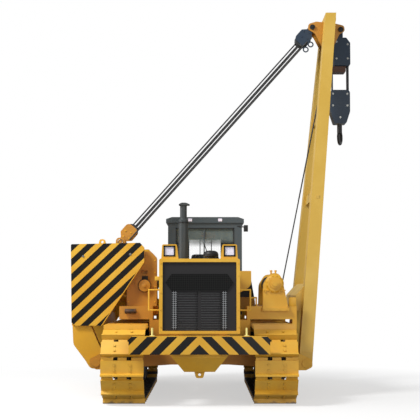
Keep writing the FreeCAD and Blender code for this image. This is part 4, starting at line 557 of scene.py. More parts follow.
def parted_enamel(name, height, above, below):
    """Two enamels that meet at a height: the panel above it has one colour and the one below another."""
    material, tree, shader = new_material(name, above, DRY_SHINE, **SPRAYED)
    higher = maths(tree, "GREATER_THAN", axes_of(tree)["Z"], height)
    join(tree, shader.inputs["Base Color"], mixed(tree, higher, below, above))
    orange_peel(tree, shader)
    return material


AMBER_DUST = 0.35


def shaded_amber_enamel(coats):
    """The body's yellow, deeper and more orange on the winch side's parts as painted shade, and dulled by dust in
    patches.
    """
    material, tree, shader = new_material("shaded_amber_enamel", coats.amber, SOFT_SHINE)
    dust = maths(tree, "MULTIPLY", cloud(tree, *AMBER_PATCHES), AMBER_DUST)
    join(tree, shader.inputs["Base Color"], mixed(tree, dust, coats.amber, linear("#A06C2C")))
    orange_peel(tree, shader)
    return material


# Threads lie 5 mm apart, coarser than real ones, so that they show.
WEAVE = 5.0
WEAVE_DEPTH = 0.5


def seat_cloth():
    """Woven seat cloth: dull charcoal with a fine basket weave."""
    material, tree, shader = new_material("woven_seat_cloth", linear("#2C2D30"), 0.9)
    axes = axes_of(tree)
    threads = []
    for axis in ("X", "Z"):
        across = maths(tree, "ADD", axes[axis], axes["Y"])
        threads.append(maths(tree, "SINE", maths(tree, "MULTIPLY", across, 2.0 * math.pi / (WEAVE * MM))))
    dent(tree, shader, maths(tree, "MULTIPLY", *threads), WEAVE_DEPTH)
    return material


# The lens's ribs, in mm.
LENS_RIB = 18.0
LENS_RIB_DEPTH = 1.5


def lens_glass():
    """Moulded lamp lens, pale and faintly lilac, ribbed to spread the beam."""
    material, tree, shader = new_material("ribbed_lamp_lens", linear("#E6E1F0"), 0.12, Coat_Weight=0.6)
    rib = maths(tree, "PINGPONG", maths(tree, "DIVIDE", axes_of(tree)["X"], LENS_RIB * MM), 0.5)
    dent(tree, shader, rib, LENS_RIB_DEPTH)
    return material


# Where the side locker changes from black to a darker yellow that is painted shade, and where the load block
# changes from one coat to the other.
LOCKER_PARTING = 1.40
BLOCK_PARTING = 4.912


def build_materials(coats):
    """Makes every finish once, under the name of its slot or its own."""
    luff_span = high("luff_ropes_upper") - low("luff_ropes_upper")
    hoist_span = high("hoist_rope_upper") - low("hoist_rope_upper")
    MATERIALS.update({
        "yellow_paint": yellow_enamel(coats),
        "boom_paint": bleached_enamel(coats),
        "track_paint": track_enamel(coats),
        "inner_shade_paint": inner_shade_enamel(coats),
        "shaded_amber_paint": shaded_amber_enamel(coats),
        "bumper_stripes": bumper_enamel(coats),
        "weight_stripes": weight_enamel(coats),
        # Charcoal enamel, near black and fairly dull.
        "dark_paint": bloomed_coat("charcoal_enamel", linear("#1D1E20"), 0.5),
        # Slate enamel with a thin clear coat: grey-green, and it takes a soft highlight.
        "cab_paint": bloomed_coat("slate_cab_enamel", coats.cab, 0.42, 0.1),
        # Blue-black enamel, glossier than the rest.
        "block_paint": bloomed_coat("blue_black_enamel", coats.blocks, 0.42, 0.15),
        # Yellow enamel, browner and darker: painted shade under the bumper and hull, and oil stain; drier too.
        "brown_paint": bloomed_coat("oil_stained_and_shaded_enamel", linear("#C4863C"), 0.5),
        # Black stove enamel that heat has dulled to grey.
        "stack_paint": bloomed_coat("heat_dulled_black_enamel", linear("#3A3F40"), 0.45),
        # Steel sheaves under grease: black with a wet edge.
        "sheave_steel": bloomed_coat("greased_sheave_steel", linear("#26292A"), 0.5, 0.3),
        # The radiator's fins in a dull mid grey, with a bloom of dust in patches.
        "core_paint": bloomed_coat("dull_grey_radiator", linear("#6C6D6E"), 0.7),
        # Forged steel rubbed with oil: near black, with a sheen.
        "hook_steel": bloomed_coat("oiled_forged_steel", linear("#2B2A2B"), 0.38, 0.2),
        # Below the parting the locker's yellow is darker: painted shade.
        "locker_paint": parted_enamel(
            "locker_enamel_painted_shade_below", LOCKER_PARTING, linear("#151617"), linear("#B98A34")),
        "load_block_paint": parted_enamel(
            "two_tone_block_enamel", BLOCK_PARTING, coats.blocks, linear("#4E3226")),
        "grille_sheet": grille_sheet(),
        "lamp_glass": lens_glass(),
        "cab_pane": pane(),
        "seat_fabric": seat_cloth(),
        "bare_steel": machined_steel(),
        "cast_steel": cast_steel(),
        # Hard chrome on the cylinder's rod, ground smooth: it mirrors what is round it.
        "chrome": new_material("hard_chrome", linear("#C9CACB"), 0.12, 1.0)[0],
        # Moulded rubber: black and matt.
        "rubber": new_material("moulded_black_rubber", linear("#18191A"), 0.75)[0],
        # Red enamel on the first aid box.
        "red_paint": new_material("red_enamel", linear("#8E2A20"), 0.4)[0],
        # Silvered glass, a clear mirror.
        "mirror": new_material("silvered_mirror", linear("#D4D8DA"), 0.05, 1.0)[0],
        "wire_rope": wire_rope("greased_wire_rope", UPWARD),
        "drum_rope": wire_rope("rope_on_drum", (0.0, 1.0, 0.6)),
        "luff_rope": wire_rope("luff_rope_strands", luff_span),
        "hoist_rope": wire_rope("hoist_rope_strands", hoist_span),
        "fall_rope": wire_rope("fall_rope_strands", UPWARD),
    })


FINISH_OF = {
    "front_bumper": "bumper_stripes",
    "counterweight": "weight_stripes",
    "grille": "grille_sheet",
    "cylinder_rod": "chrome",
    "side_locker": "locker_paint",
    # The equaliser bar's browner yellow is painted shade under the bumper, with oil stain.
    "equaliser_bar": "brown_paint",
    "load_block": "load_block_paint",
    "hook": "hook_steel",
    "exhaust_stack": "stack_paint",
    "radiator": "core_paint",
    "boom_frame": "boom_paint",
}
for finish, names in (
        ("track_paint", ("track_left", "track_right")),
        # Painted shade: on these parts, what lies between the tracks goes near black.
        ("inner_shade_paint", ("track_frames", "idlers", "track_rollers", "final_drives")),
        ("drum_rope", ("hoist_drum", "luff_drum")),
        # Painted shade: the winch side's parts, the lower luffing block and the boom's head take the deeper amber.
        ("shaded_amber_paint", ("weight_side_frame", "winch_rails", "luff_winch", "luff_block_lower", "tackle_tower",
                         "boom_head"))):
    FINISH_OF.update(dict.fromkeys(names, finish))


# ---- making pieces ------------------------------------------------------------------------
def deselect():
    """Clears the selection, so that the next operator meets only its own piece."""
    bpy.ops.object.select_all(action="DESELECT")


def settled():
    """Puts the active object's place, turn and size into its mesh."""
    bpy.ops.object.transform_apply(location=True, rotation=True, scale=True)
    return bpy.context.active_object


def rounded(obj, width_mm):
    """Breaks a piece's sharp edges."""
    bevel = obj.modifiers.new("edges", "BEVEL")
    bevel.width = width_mm * MM
    bevel.segments = 2
    bevel.limit_method = "ANGLE"
    bpy.ops.object.modifier_apply(modifier="edges")
    return obj


def box_piece(corner, opposite, edge_mm=0.0):
    """Box between two corners, with its edges broken."""
    a = Vector(corner)
    b = Vector(opposite)
    deselect()
    bpy.ops.mesh.primitive_cube_add(size=1.0, location=(a + b) / 2.0)
    obj = bpy.context.active_object
    obj.scale = [abs(v) for v in b - a]
    settled()
    return rounded(obj, edge_mm) if edge_mm else obj


def box_at(corners, edge_mm=0.0):
    """Box between two corners in millimetres in the machine's own frame."""
    return box_piece(at(*corners[0]), at(*corners[1]), edge_mm)


def box_ahead_of(node_name, corners, edge_mm=0.0):
    """Box between two corners in millimetres off the middle plane, ahead of a solid and above the ground."""
    return box_piece(ahead_of(node_name, *corners[0]), ahead_of(node_name, *corners[1]), edge_mm)


def rod_piece(start, end, radius_mm, sides=20, edge_mm=0.0):
    """Round bar between two points."""
    axis = Vector(end) - Vector(start)
    deselect()
    bpy.ops.mesh.primitive_cylinder_add(
        vertices=sides, radius=radius_mm * MM, depth=axis.length,
        location=(Vector(start) + Vector(end)) / 2.0, rotation=axis.to_track_quat("Z", "Y").to_euler())
    obj = settled()
    return rounded(obj, edge_mm) if edge_mm else obj


def ring_piece(centre, axis, radius_mm, wire_mm, turns=28, sides=8):
    """Round ring about an axis."""
    deselect()
    bpy.ops.mesh.primitive_torus_add(
        major_radius=radius_mm * MM, minor_radius=wire_mm * MM, major_segments=turns, minor_segments=sides,
        location=centre, rotation=Vector(axis).to_track_quat("Z", "Y").to_euler())
    return settled()


def bar_through(points, radius_mm, sides=12):
    """Bent round bar through points, with a ball at each bend."""
    parts = []
    for start, end in zip(points[:-1], points[1:]):
        parts.append(rod_piece(start, end, radius_mm, sides))
    for point in points[1:-1]:
        deselect()
        bpy.ops.mesh.primitive_uv_sphere_add(
            segments=sides, ring_count=8, radius=radius_mm * MM, location=point)
        parts.append(settled())
    return parts


def frame_strips(corner, opposite, axis, start, width_mm, depth_mm):
    """Four strips just inside a rectangle that faces along X (0) or Y (1), from one place on that axis."""
    a = Vector(corner)
    b = Vector(opposite)
    strips = []
    for across, edge in ((1 - axis, a), (1 - axis, b), (2, a), (2, b)):
        first = a.copy()
        last = b.copy()
        inward = width_mm * MM if edge is a else -width_mm * MM
        first[across] = edge[across]
        last[across] = edge[across] + inward
        first[axis] = start
        last[axis] = start + depth_mm * MM
        strips.append(box_piece(first, last))
    return strips


def bolt_pattern(radius_mm, height_mm):
    """One hexagon bolt head on its washer, standing on the origin along +Z."""
    face = UPWARD * 0.25 * height_mm * MM
    washer = rod_piece((0.0, 0.0, 0.0), face, 1.35 * radius_mm, 12)
    head = rod_piece(face, UPWARD * height_mm * MM, radius_mm, 6)
    return [washer, head]


def turned(outward, along=None):
    """Turn that takes Z to an outward direction, and Y to a direction along the surface if one is given."""
    if along is None:
        return Vector(outward).to_track_quat("Z", "Y").to_matrix().to_4x4()
    z = Vector(outward).normalized()
    y = Vector(along).normalized()
    return Matrix((y.cross(z), y, z)).transposed().to_4x4()


def stamped(pattern, places):
    """Copies of a pattern, each at a point and turned to an outward direction; the pattern itself goes."""
    deselect()
    for obj in pattern:
        obj.select_set(True)
    bpy.context.view_layer.objects.active = pattern[0]
    bpy.ops.object.join()
    master = bpy.context.active_object
    copies = []
    for point, *directions in places:
        copy = master.copy()
        copy.data = master.data.copy()
        copy.matrix_world = Matrix.Translation(point) @ turned(*directions)
        bpy.context.scene.collection.objects.link(copy)
        copies.append(copy)
    bpy.data.objects.remove(master)
    return copies


def piece(parts, name, body, slot, finish=None):
    """Joins parts into one named piece that rides on a body, with its finish's material, or its slot's when no
    finish is given.
    """
    deselect()
    for obj in parts:
        obj.select_set(True)
    bpy.context.view_layer.objects.active = parts[0]
    if len(parts) > 1:
        bpy.ops.object.join()
    obj = settled()
    obj.name = name
    obj.data.name = name
    obj.data.materials.clear()
    obj.data.materials.append(MATERIALS[finish or slot])
    for polygon in obj.data.polygons:
        polygon.material_index = 0
    bpy.ops.object.shade_smooth_by_angle(angle=math.radians(35.0))
    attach(obj, body)
    return obj


def seat(node_name, start, direction):
    """Where a line from a point first meets a solid, and the way the surface faces there."""
    hit, place, normal, _ = NODES[node_name].ray_cast(Vector(start), Vector(direction).normalized())
    if not hit:
        raise RuntimeError("nothing to seat on: " + node_name)
    return place, normal


def ring_of_seats(node_name, centre, direction, radius_mm, count, turn=0.0):
    """Seats on a circle about a line, on a solid's face."""
    axis = Vector(direction).normalized()
    first = axis.orthogonal().normalized()
    second = axis.cross(first)
    seats = []
    for number in range(count):
        angle = turn + 2.0 * math.pi * number / count
        offset = (first * math.cos(angle) + second * math.sin(angle)) * radius_mm * MM
        seats.append(seat(node_name, Vector(centre) + offset, axis))
    return seats


class PIPELAYER_OT_finish(bpy.types.Operator):
    """Give every solid its finish"""
    bl_idname = "pipelayer.finish"
    bl_label = "Finish the solids"

    def execute(self, context):
        build_materials(context.scene.pipelayer_colours)
        for name, obj in NODES.items():
            obj.data.materials.clear()
            obj.data.materials.append(MATERIALS[FINISH_OF.get(name, SLOT_OF[name])])
        return {"FINISHED"}


# ---- tracks -------------------------------------------------------------------------------
FIRST_SHOE = -0.060
SHOE_FACE = 0.076
BOLT_COLUMNS = (-0.104, 0.104)
BOLT_ROWS = (-0.022, 0.048)
# Each lip stands on a shoe's trailing edge: its reach along the travel, its height and its three lengths.
LIP_TRAVEL = (0.100, 0.141)
LIP_OUT = (0.046, 0.0555)
LIP_SPANS = ((-0.272, -0.119), (-0.058, 0.058), (0.119, 0.272))
# Radius and height of bolt heads, in mm, and the circles that they stand on.
SHOE_BOLT_HEIGHT = 14.0
DRIVE_BOLT = (15.0, 14.0)
DRIVE_CIRCLE = (142.0, 12)
IDLER_BOLT = (11.0, 10.0)
IDLER_CIRCLE = (60.0, 6)


def track_station(distance):
    """Point on a track's pitch line and its outward direction, from under the idler over the top."""
    distance = distance % (2.0 * (ARC_RUN + STRAIGHT_RUN))
    if distance < ARC_RUN:
        angle = distance / PITCH_RADIUS
        out = Vector((0.0, -math.sin(angle), -math.cos(angle)))
        y = IDLER_Y
    elif distance < ARC_RUN + STRAIGHT_RUN:
        out = UPWARD
        y = IDLER_Y + distance - ARC_RUN
    elif distance < 2.0 * ARC_RUN + STRAIGHT_RUN:
        angle = (distance - ARC_RUN - STRAIGHT_RUN) / PITCH_RADIUS
        out = Vector((0.0, math.sin(angle), math.cos(angle)))
        y = DRIVE_Y
    else:
        out = -UPWARD
        y = DRIVE_Y - (distance - 2.0 * ARC_RUN - STRAIGHT_RUN)
    return Vector((0.0, y, AXLE_Z)) + out * PITCH_RADIUS, out


def shoes_of(track):
    """Each shoe's point on the chain, its outward direction and its direction of travel."""
    shoes = []
    centre_x = middle(track).x
    for number in range(SHOES):
        point, out = track_station(number * LINK_PITCH + FIRST_SHOE)
        point.x = centre_x
        shoes.append((point, out, Vector((0.0, out.z, -out.y))))
    return shoes


class PIPELAYER_OT_shoes(bpy.types.Operator):
    """Bolt every shoe to its links and raise its plate's lips"""
    bl_idname = "pipelayer.shoes"
    bl_label = "Track shoes"

    def execute(self, context):
        head = (context.scene.pipelayer_sizes.shoe_bolt / MM, SHOE_BOLT_HEIGHT)
        for track in ("track_left", "track_right"):
            places = []
            for point, out, travel in shoes_of(track):
                for column in BOLT_COLUMNS:
                    for row in BOLT_ROWS:
                        places.append((point + out * SHOE_FACE + travel * row + RIGHTWARD * column, out))
            bolts = stamped(bolt_pattern(*head), places)
            piece(bolts, track + "_bolts", "chassis", "yellow_paint", "track_paint")
            pattern = []
            for near, far in LIP_SPANS:
                pattern.append(box_piece((near, LIP_TRAVEL[0], LIP_OUT[0]), (far, LIP_TRAVEL[1], LIP_OUT[1])))
            lips = stamped(pattern, shoes_of(track))
            piece(lips, track + "_lips", "chassis", "yellow_paint", "track_paint")
        return {"FINISHED"}


def hub_seats(node_name, y, radius_mm, count):
    """Seats on a circle about both tracks' hubs at one place along the machine, on their outer faces."""
    seats = []
    for side, track in ((1, "track_left"), (-1, "track_right")):
        outside = Vector((middle(track).x + side * STANDOFF, y, AXLE_Z))
        seats += ring_of_seats(node_name, outside, RIGHTWARD * -side, radius_mm, count)
    return seats


class PIPELAYER_OT_hubs(bpy.types.Operator):
    """Bolt the drives' covers and the idlers' caps"""
    bl_idname = "pipelayer.hubs"
    bl_label = "Hub bolts"

    def execute(self, context):
        covers = hub_seats("final_drives", DRIVE_Y, *DRIVE_CIRCLE)
        piece(stamped(bolt_pattern(*DRIVE_BOLT), covers), "drive_cover_bolts", "chassis", "yellow_paint")
        caps = hub_seats("idlers", IDLER_Y, *IDLER_CIRCLE)
        piece(stamped(bolt_pattern(*IDLER_BOLT), caps), "idler_cap_bolts", "chassis", "yellow_paint")
        return {"FINISHED"}


# ---- radiator guard and lamps -------------------------------------------------------------
# A rim's strips have a width and a depth in mm. They overlap the lens at its sides.
LENS_WIDTH = 0.138
RIM_HALF = 0.076
RIM_OVER = 0.014
RIM_PROUD = 0.005
RIM_STRIP = (19.0, 8.0)


class PIPELAYER_OT_lamp_rims(bpy.types.Operator):
    """Put a dark rim round each headlamp's lens"""
    bl_idname = "pipelayer.lamp_rims"
    bl_label = "Headlamp rims"

    def execute(self, context):
        foot = low("lamp_lenses")
        top = high("lamp_lenses")
        rims = []
        for side in SIDES:
            x = middle("lamp_lenses").x + side * (top.x - foot.x - LENS_WIDTH) / 2.0
            rims += frame_strips((x - RIM_HALF, 0.0, foot.z - RIM_OVER),
                                 (x + RIM_HALF, 0.0, top.z + RIM_OVER),
                                 1, low("headlamps").y - RIM_PROUD, *RIM_STRIP)
        piece(rims, "headlamp_rims", "chassis", "dark_paint", "rubber")
        return {"FINISHED"}


GUARD_BOLT = (8.0, 7.0)
GUARD_BOLT_OUT = 0.5005
GUARD_BOLT_HEIGHTS = (1.03, 1.25, 1.47, 1.69)
GUARD_TOP_BOLT_DOWN = 0.06
# Corners in mm in the machine's own frame.
GUARD_LUG = ((-578, -1880, 1626), (-523, -1842, 1680))


class PIPELAYER_OT_guard(bpy.types.Operator):
    """Bolt the radiator guard down both sides, and weld a lug on it"""
    bl_idname = "pipelayer.guard"
    bl_label = "Radiator guard"

    def execute(self, context):
        heights = GUARD_BOLT_HEIGHTS + (high("radiator_guard").z - GUARD_TOP_BOLT_DOWN,)
        y = low("radiator_guard").y - STANDOFF
        bolts = []
        for side in SIDES:
            for z in heights:
                bolts.append(seat("radiator_guard", (CENTRE_X + side * GUARD_BOLT_OUT, y, z), REARWARD))
        piece(stamped(bolt_pattern(*GUARD_BOLT), bolts), "guard_bolts", "chassis", "yellow_paint")
        piece([box_at(GUARD_LUG, edge_mm=6.0)], "guard_lug", "chassis", "yellow_paint")
        return {"FINISHED"}


# ---- hood and exhaust ---------------------------------------------------------------------
# Seams stand this far out of the hood; the top one stops short of both ends.
SEAM_PROUD = 0.003
TOP_SEAM_HALF = 0.004
TOP_SEAM_SHORT = (0.01, 0.02)
PANEL_JOINTS = (-1.05, -0.45)
PANEL_HEIGHT = 1.3
PANEL_SPAN = (-0.33, 0.5)
# Latches' places along the hood, their height, half their size along and up, and how far they stand out.
LATCHES = (-1.35, -0.75, -0.15)
LATCH_HEIGHT = 1.52
LATCH_HALF = Vector((0.0, 0.03, 0.02))
LATCH_PROUD = 0.014


def hood_side(side, y, z):
    """Point on the hood's side wall."""
    start = Vector((CENTRE_X + side * (high("hood").x - low("hood").x), DATUM_Y + y, z))
    return seat("hood", start, RIGHTWARD * -side)[0]


class PIPELAYER_OT_hood(bpy.types.Operator):
    """Mark the hood's seams and panel joints, and add its latches"""
    bl_idname = "pipelayer.hood"
    bl_label = "Hood"

    def execute(self, context):
        top = high("hood").z
        seams = [box_piece((CENTRE_X - TOP_SEAM_HALF, low("hood").y + TOP_SEAM_SHORT[0], top - TOP_SEAM_HALF),
                           (CENTRE_X + TOP_SEAM_HALF, high("hood").y - TOP_SEAM_SHORT[1], top + SEAM_PROUD))]
        latches = []
        for side in SIDES:
            for y in LATCHES:
                place = hood_side(side, y, LATCH_HEIGHT)
                outer = place + LATCH_HALF + RIGHTWARD * side * LATCH_PROUD
                latches.append(box_piece(place - LATCH_HALF, outer, edge_mm=4.0))
            for y in PANEL_JOINTS:
                place = hood_side(side, y, PANEL_HEIGHT)
                seams.append(box_piece(place + Vector((0.0, -SEAM_PROUD, PANEL_SPAN[0])),
                                       place + Vector((side * SEAM_PROUD, SEAM_PROUD, PANEL_SPAN[1]))))
        piece(seams, "hood_seams", "chassis", "dark_paint", "rubber")
        piece(latches, "hood_latches", "chassis", "dark_paint")
        return {"FINISHED"}


# The stack's place off the middle plane, and its clamps' heights, width and radius. Ears point ahead. The
# cap's pin is placed from the stack's middle line at the ground.
STACK_OFF = -0.232
CLAMP_HEIGHT = 2.44
CLAMP_OVER_HOOD = 0.03
CLAMP_WIDTH = 0.018
CLAMP_RADIUS = 73.0
CLAMP_EAR_HALF = 0.012
CLAMP_EAR_AHEAD = (0.066, 0.092)
CAP_PIN = Vector((0.078, 0.0, 2.697))
CAP_PIN_HALF = 0.05
CAP_PIN_RADIUS = 7.0


class PIPELAYER_OT_exhaust(bpy.types.Operator):
    """Clamp the exhaust stack and pin its rain cap"""
    bl_idname = "pipelayer.exhaust"
    bl_label = "Exhaust clamps"

    def execute(self, context):
        ground = Vector((CENTRE_X + STACK_OFF, middle("exhaust_stack").y, 0.0))
        parts = []
        for z in (high("hood").z + CLAMP_OVER_HOOD, CLAMP_HEIGHT):
            foot = ground + UPWARD * z
            parts.append(rod_piece(foot, foot + UPWARD * CLAMP_WIDTH, CLAMP_RADIUS, sides=32))
            near, far = CLAMP_EAR_AHEAD
            parts.append(box_piece(foot + Vector((-CLAMP_EAR_HALF, -far, 0.0)),
                                   foot + Vector((CLAMP_EAR_HALF, -near, CLAMP_WIDTH)), edge_mm=2.0))
        pin = ground + CAP_PIN
        parts.append(rod_piece(pin - REARWARD * CAP_PIN_HALF, pin + REARWARD * CAP_PIN_HALF, CAP_PIN_RADIUS))
        piece(parts, "exhaust_clamps", "chassis", "dark_paint")
        return {"FINISHED"}


RAIL_FOOT_OUT = 0.523
RAIL_FOOT_Y = -1.7
RAIL_FOOT_HEIGHTS = (1.240, 1.506)
RAIL_FOOT_RADIUS = 24.0
RAIL_FOOT_DEPTH = 0.008


class PIPELAYER_OT_rail_feet(bpy.types.Operator):
    """Set the guard's handrails on round feet"""
    bl_idname = "pipelayer.rail_feet"
    bl_label = "Handrail feet"

    def execute(self, context):
        feet = []
        for side in SIDES:
            for z in RAIL_FOOT_HEIGHTS:
                foot = Vector((CENTRE_X + side * RAIL_FOOT_OUT, DATUM_Y + RAIL_FOOT_Y, z))
                end = foot + RIGHTWARD * side * RAIL_FOOT_DEPTH
                feet.append(rod_piece(foot, end, RAIL_FOOT_RADIUS, edge_mm=2.0))
        piece(feet, "handrail_feet", "chassis", "yellow_paint")
        return {"FINISHED"}


# ---- cab ----------------------------------------------------------------------------------
# Corners of windows and fittings in mm in the machine's own frame.
WINDSCREEN = ((-381, 420, 1654), (521, 420, 2466))
REAR_WINDOW = ((-204, 0, 1874), (344, 0, 2356))
LEFT_WINDOW = ((0, 539, 1654), (0, 1421, 2466))
SCREEN_BAR = ((48, 424, 1654), (66, 436, 2466))
REAR_BARS = (-12, 176)
REAR_BAR_HALF = 7
REAR_BAR_REACH = ((1500, 1874), (1512, 2356))
DOOR_FACE = 640
# A seal's width and depth in mm, and how far it starts outside or inside a wall's face.
SCREEN_SEAL = (16.0, 12.0)
SIDE_SEAL = (14.0, 12.0)
SEAL_PROUD = 0.004
SEAL_SUNK = 0.008
# The door's seal reaches this far over its glass.
GLASS_MARGIN = Vector((0.0, 0.004, 0.004))


def corners(pair):
    """Two points from their millimetres in the machine's own frame."""
    return at(*pair[0]), at(*pair[1])


class PIPELAYER_OT_window_seals(bpy.types.Operator):
    """Seal the cab's windows in their walls, and the door's glass in the door"""
    bl_idname = "pipelayer.window_seals"
    bl_label = "Window seals"

    def execute(self, context):
        wall = low("cab_shell")
        seals = frame_strips(*corners(WINDSCREEN), 1, at(*WINDSCREEN[0]).y - SEAL_PROUD, *SCREEN_SEAL)
        seals += frame_strips(*corners(REAR_WINDOW), 1, high("cab_shell").y - SEAL_SUNK, *SIDE_SEAL)
        seals += frame_strips(*corners(LEFT_WINDOW), 0, wall.x - SEAL_PROUD, *SIDE_SEAL)
        piece(seals, "window_seals", "chassis", "dark_paint", "rubber")
        seal = frame_strips(low("door_glass") - GLASS_MARGIN, high("door_glass") + GLASS_MARGIN,
                            0, at(DOOR_FACE, 0, 0).x - SEAL_SUNK, *SIDE_SEAL)
        piece(seal, "door_window_seal", "cab_door", "dark_paint", "rubber")
        return {"FINISHED"}


DOOR_HANDLE = ((640, 560, 1512), (652, 600, 1562))
DOOR_LOCK = ((650, 580, 1522), (656, 580, 1522))
DOOR_LOCK_RADIUS = 9.0


class PIPELAYER_OT_door_lock(bpy.types.Operator):
    """Add the door's handle and its lock"""
    bl_idname = "pipelayer.door_lock"
    bl_label = "Door lock"

    def execute(self, context):
        lock = rod_piece(*corners(DOOR_LOCK), DOOR_LOCK_RADIUS, sides=16)
        piece([box_at(DOOR_HANDLE, edge_mm=4.0), lock], "door_lock", "cab_door", "bare_steel")
        return {"FINISHED"}


class PIPELAYER_OT_window_bars(bpy.types.Operator):
    """Divide the windscreen and the rear window with bars"""
    bl_idname = "pipelayer.window_bars"
    bl_label = "Window bars"

    def execute(self, context):
        bars = [box_at(SCREEN_BAR, edge_mm=2.0)]
        near, far = REAR_BAR_REACH
        for x in REAR_BARS:
            bars.append(box_at(((x - REAR_BAR_HALF, *near), (x + REAR_BAR_HALF, *far)), edge_mm=2.0))
        piece(bars, "window_bars", "chassis", "dark_paint", "cab_paint")
        return {"FINISHED"}


# Millimetres off the middle plane, ahead of the cab's front wall and above the ground.
WIPER_PIVOT = (250, 12, 1634)
WIPER_TIP = (110, 22, 2060)
# The hub's reach behind and ahead of the pivot, the blade's reach along the arm from its tip, and radii.
WIPER_HUB = (0.012, 0.016)
WIPER_ARM_AHEAD = 0.008
WIPER_BLADE = (0.22, 0.18)
WIPER_RADII = (14.0, 5.0, 7.0)


class PIPELAYER_OT_wiper(bpy.types.Operator):
    """Hang a wiper over the windscreen"""
    bl_idname = "pipelayer.wiper"
    bl_label = "Wiper"

    def execute(self, context):
        pivot = ahead_of("cab_shell", *WIPER_PIVOT)
        tip = ahead_of("cab_shell", *WIPER_TIP)
        along = (tip - pivot).normalized()
        hub, arm, blade = WIPER_RADII
        parts = [rod_piece(pivot + REARWARD * WIPER_HUB[0], pivot - REARWARD * WIPER_HUB[1], hub, sides=16),
                 rod_piece(pivot - REARWARD * WIPER_ARM_AHEAD, tip, arm, sides=8),
                 rod_piece(tip - along * WIPER_BLADE[0], tip + along * WIPER_BLADE[1], blade, sides=8)]
        piece(parts, "windscreen_wiper", "chassis", "dark_paint", "rubber")
        return {"FINISHED"}


# Half width, and reach ahead of the roof's front edge and height of two corners, in mm.
ROOF_LAMPS = (-158, 303)
LAMP_BOX = (36, (-2, 2556), (-50, 2612))
LAMP_FACE = (30, (6, 2561), (-4, 2607))


class PIPELAYER_OT_roof_lamps(bpy.types.Operator):
    """Set two work lamps in the roof's front edge"""
    bl_idname = "pipelayer.roof_lamps"
    bl_label = "Roof lamps"

    def execute(self, context):
        for (half, near, far), edge, name, slot in (
                (LAMP_BOX, 5.0, "roof_lamp_boxes", "dark_paint"),
                (LAMP_FACE, 3.0, "roof_lamp_lenses", "lamp_glass")):
            parts = []
            for x in ROOF_LAMPS:
                parts.append(box_ahead_of("cab_roof", ((x - half, *near), (x + half, *far)), edge_mm=edge))
            piece(parts, name, "chassis", slot)
        return {"FINISHED"}


MIRROR_ARM = ((560, 430, 2490), (660, 396, 2478), (704, 392, 2462))
MIRROR_ARM_RADIUS = 9.0
MIRROR_SHELL = ((666, 384, 2404), (732, 400, 2506))
MIRROR_GLASS = ((672, 398, 2410), (726, 402, 2500))


class PIPELAYER_OT_mirror(bpy.types.Operator):
    """Hang a mirror beside the door's upper corner"""
    bl_idname = "pipelayer.mirror"
    bl_label = "Mirror"

    def execute(self, context):
        arm = bar_through([at(*point) for point in MIRROR_ARM], MIRROR_ARM_RADIUS)
        piece(arm + [box_at(MIRROR_SHELL, edge_mm=6.0)], "mirror_shell", "chassis", "dark_paint", "rubber")
        piece([box_at(MIRROR_GLASS)], "mirror_glass", "chassis", "bare_steel", "mirror")
        return {"FINISHED"}


# A point in the cab, and the box's width and height and its depth.
AID_BOX_FROM = (126, 1000, 2420)
AID_BOX = ((7, 2362), (244, 2456))
AID_BOX_DEPTH = 0.09
GUTTERS = (((-530, 392, 2538), (670, 400, 2548)), ((-530, 1560, 2538), (670, 1568, 2548)))


class PIPELAYER_OT_cab_trim(bpy.types.Operator):
    """Put a first aid box on the cab's rear wall and gutters along its roof"""
    bl_idname = "pipelayer.cab_trim"
    bl_label = "Cab trim"

    def execute(self, context):
        wall, _ = seat("cab_shell", at(*AID_BOX_FROM), REARWARD)
        (left, foot), (right, top) = AID_BOX
        box = box_piece((at(left, 0, 0).x, wall.y - AID_BOX_DEPTH, foot * MM),
                        (at(right, 0, 0).x, wall.y, top * MM), edge_mm=8.0)
        piece([box], "first_aid_box", "chassis", "dark_paint", "red_paint")
        piece([box_at(gutter) for gutter in GUTTERS], "roof_gutters", "chassis", "dark_paint", "rubber")
        return {"FINISHED"}


# The cushion and the leaning back lie inside the solid seat's box.
PAD_INSET = 0.012
CUSHION_SHORT = 0.15
CUSHION_UP = (0.004, 0.126)
PAD_CUTS = 4
PUFF_LEVELS = 2
BACK_HALF = 0.048
BACK_SHORT = 0.1
BACK_AHEAD = 0.115
BACK_UP = 0.045
BACK_LEAN = math.radians(-6.0)


class PIPELAYER_OT_seat(bpy.types.Operator):
    """Upholster the operator's seat with a cushion and a back"""
    bl_idname = "pipelayer.seat"
    bl_label = "Operator's seat"

    def execute(self, context):
        a = low("operator_seat")
        b = high("operator_seat")
        left = a.x + PAD_INSET
        right = b.x - PAD_INSET
        cushion = box_piece((left, a.y + PAD_INSET, a.z + CUSHION_UP[0]),
                            (right, b.y - CUSHION_SHORT, a.z + CUSHION_UP[1]))
        back = box_piece((left, -BACK_HALF, 0.0), (right, BACK_HALF, b.z - a.z - BACK_SHORT))
        back.rotation_euler = (BACK_LEAN, 0.0, 0.0)
        back.location = (0.0, b.y - BACK_AHEAD, a.z + BACK_UP)
        for pad in (cushion, back):
            deselect()
            pad.select_set(True)
            context.view_layer.objects.active = pad
            settled()
            bpy.ops.object.mode_set(mode="EDIT")
            bpy.ops.mesh.select_all(action="SELECT")
            bpy.ops.mesh.subdivide(number_cuts=PAD_CUTS)
            bpy.ops.object.mode_set(mode="OBJECT")
            puff = pad.modifiers.new("puff", "SUBSURF")
            puff.levels = PUFF_LEVELS
            puff.render_levels = PUFF_LEVELS
            bpy.ops.object.modifier_apply(modifier="puff")
        padded = piece([cushion, back], "operator_seat_pads", "chassis", "seat_fabric")
        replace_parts(padded, "operator_seat")
        return {"FINISHED"}


# ---- winches ------------------------------------------------------------------------------
WINCH_BOLT = (9.0, 8.0)
DRUM_CIRCLE = (112.0, 12)
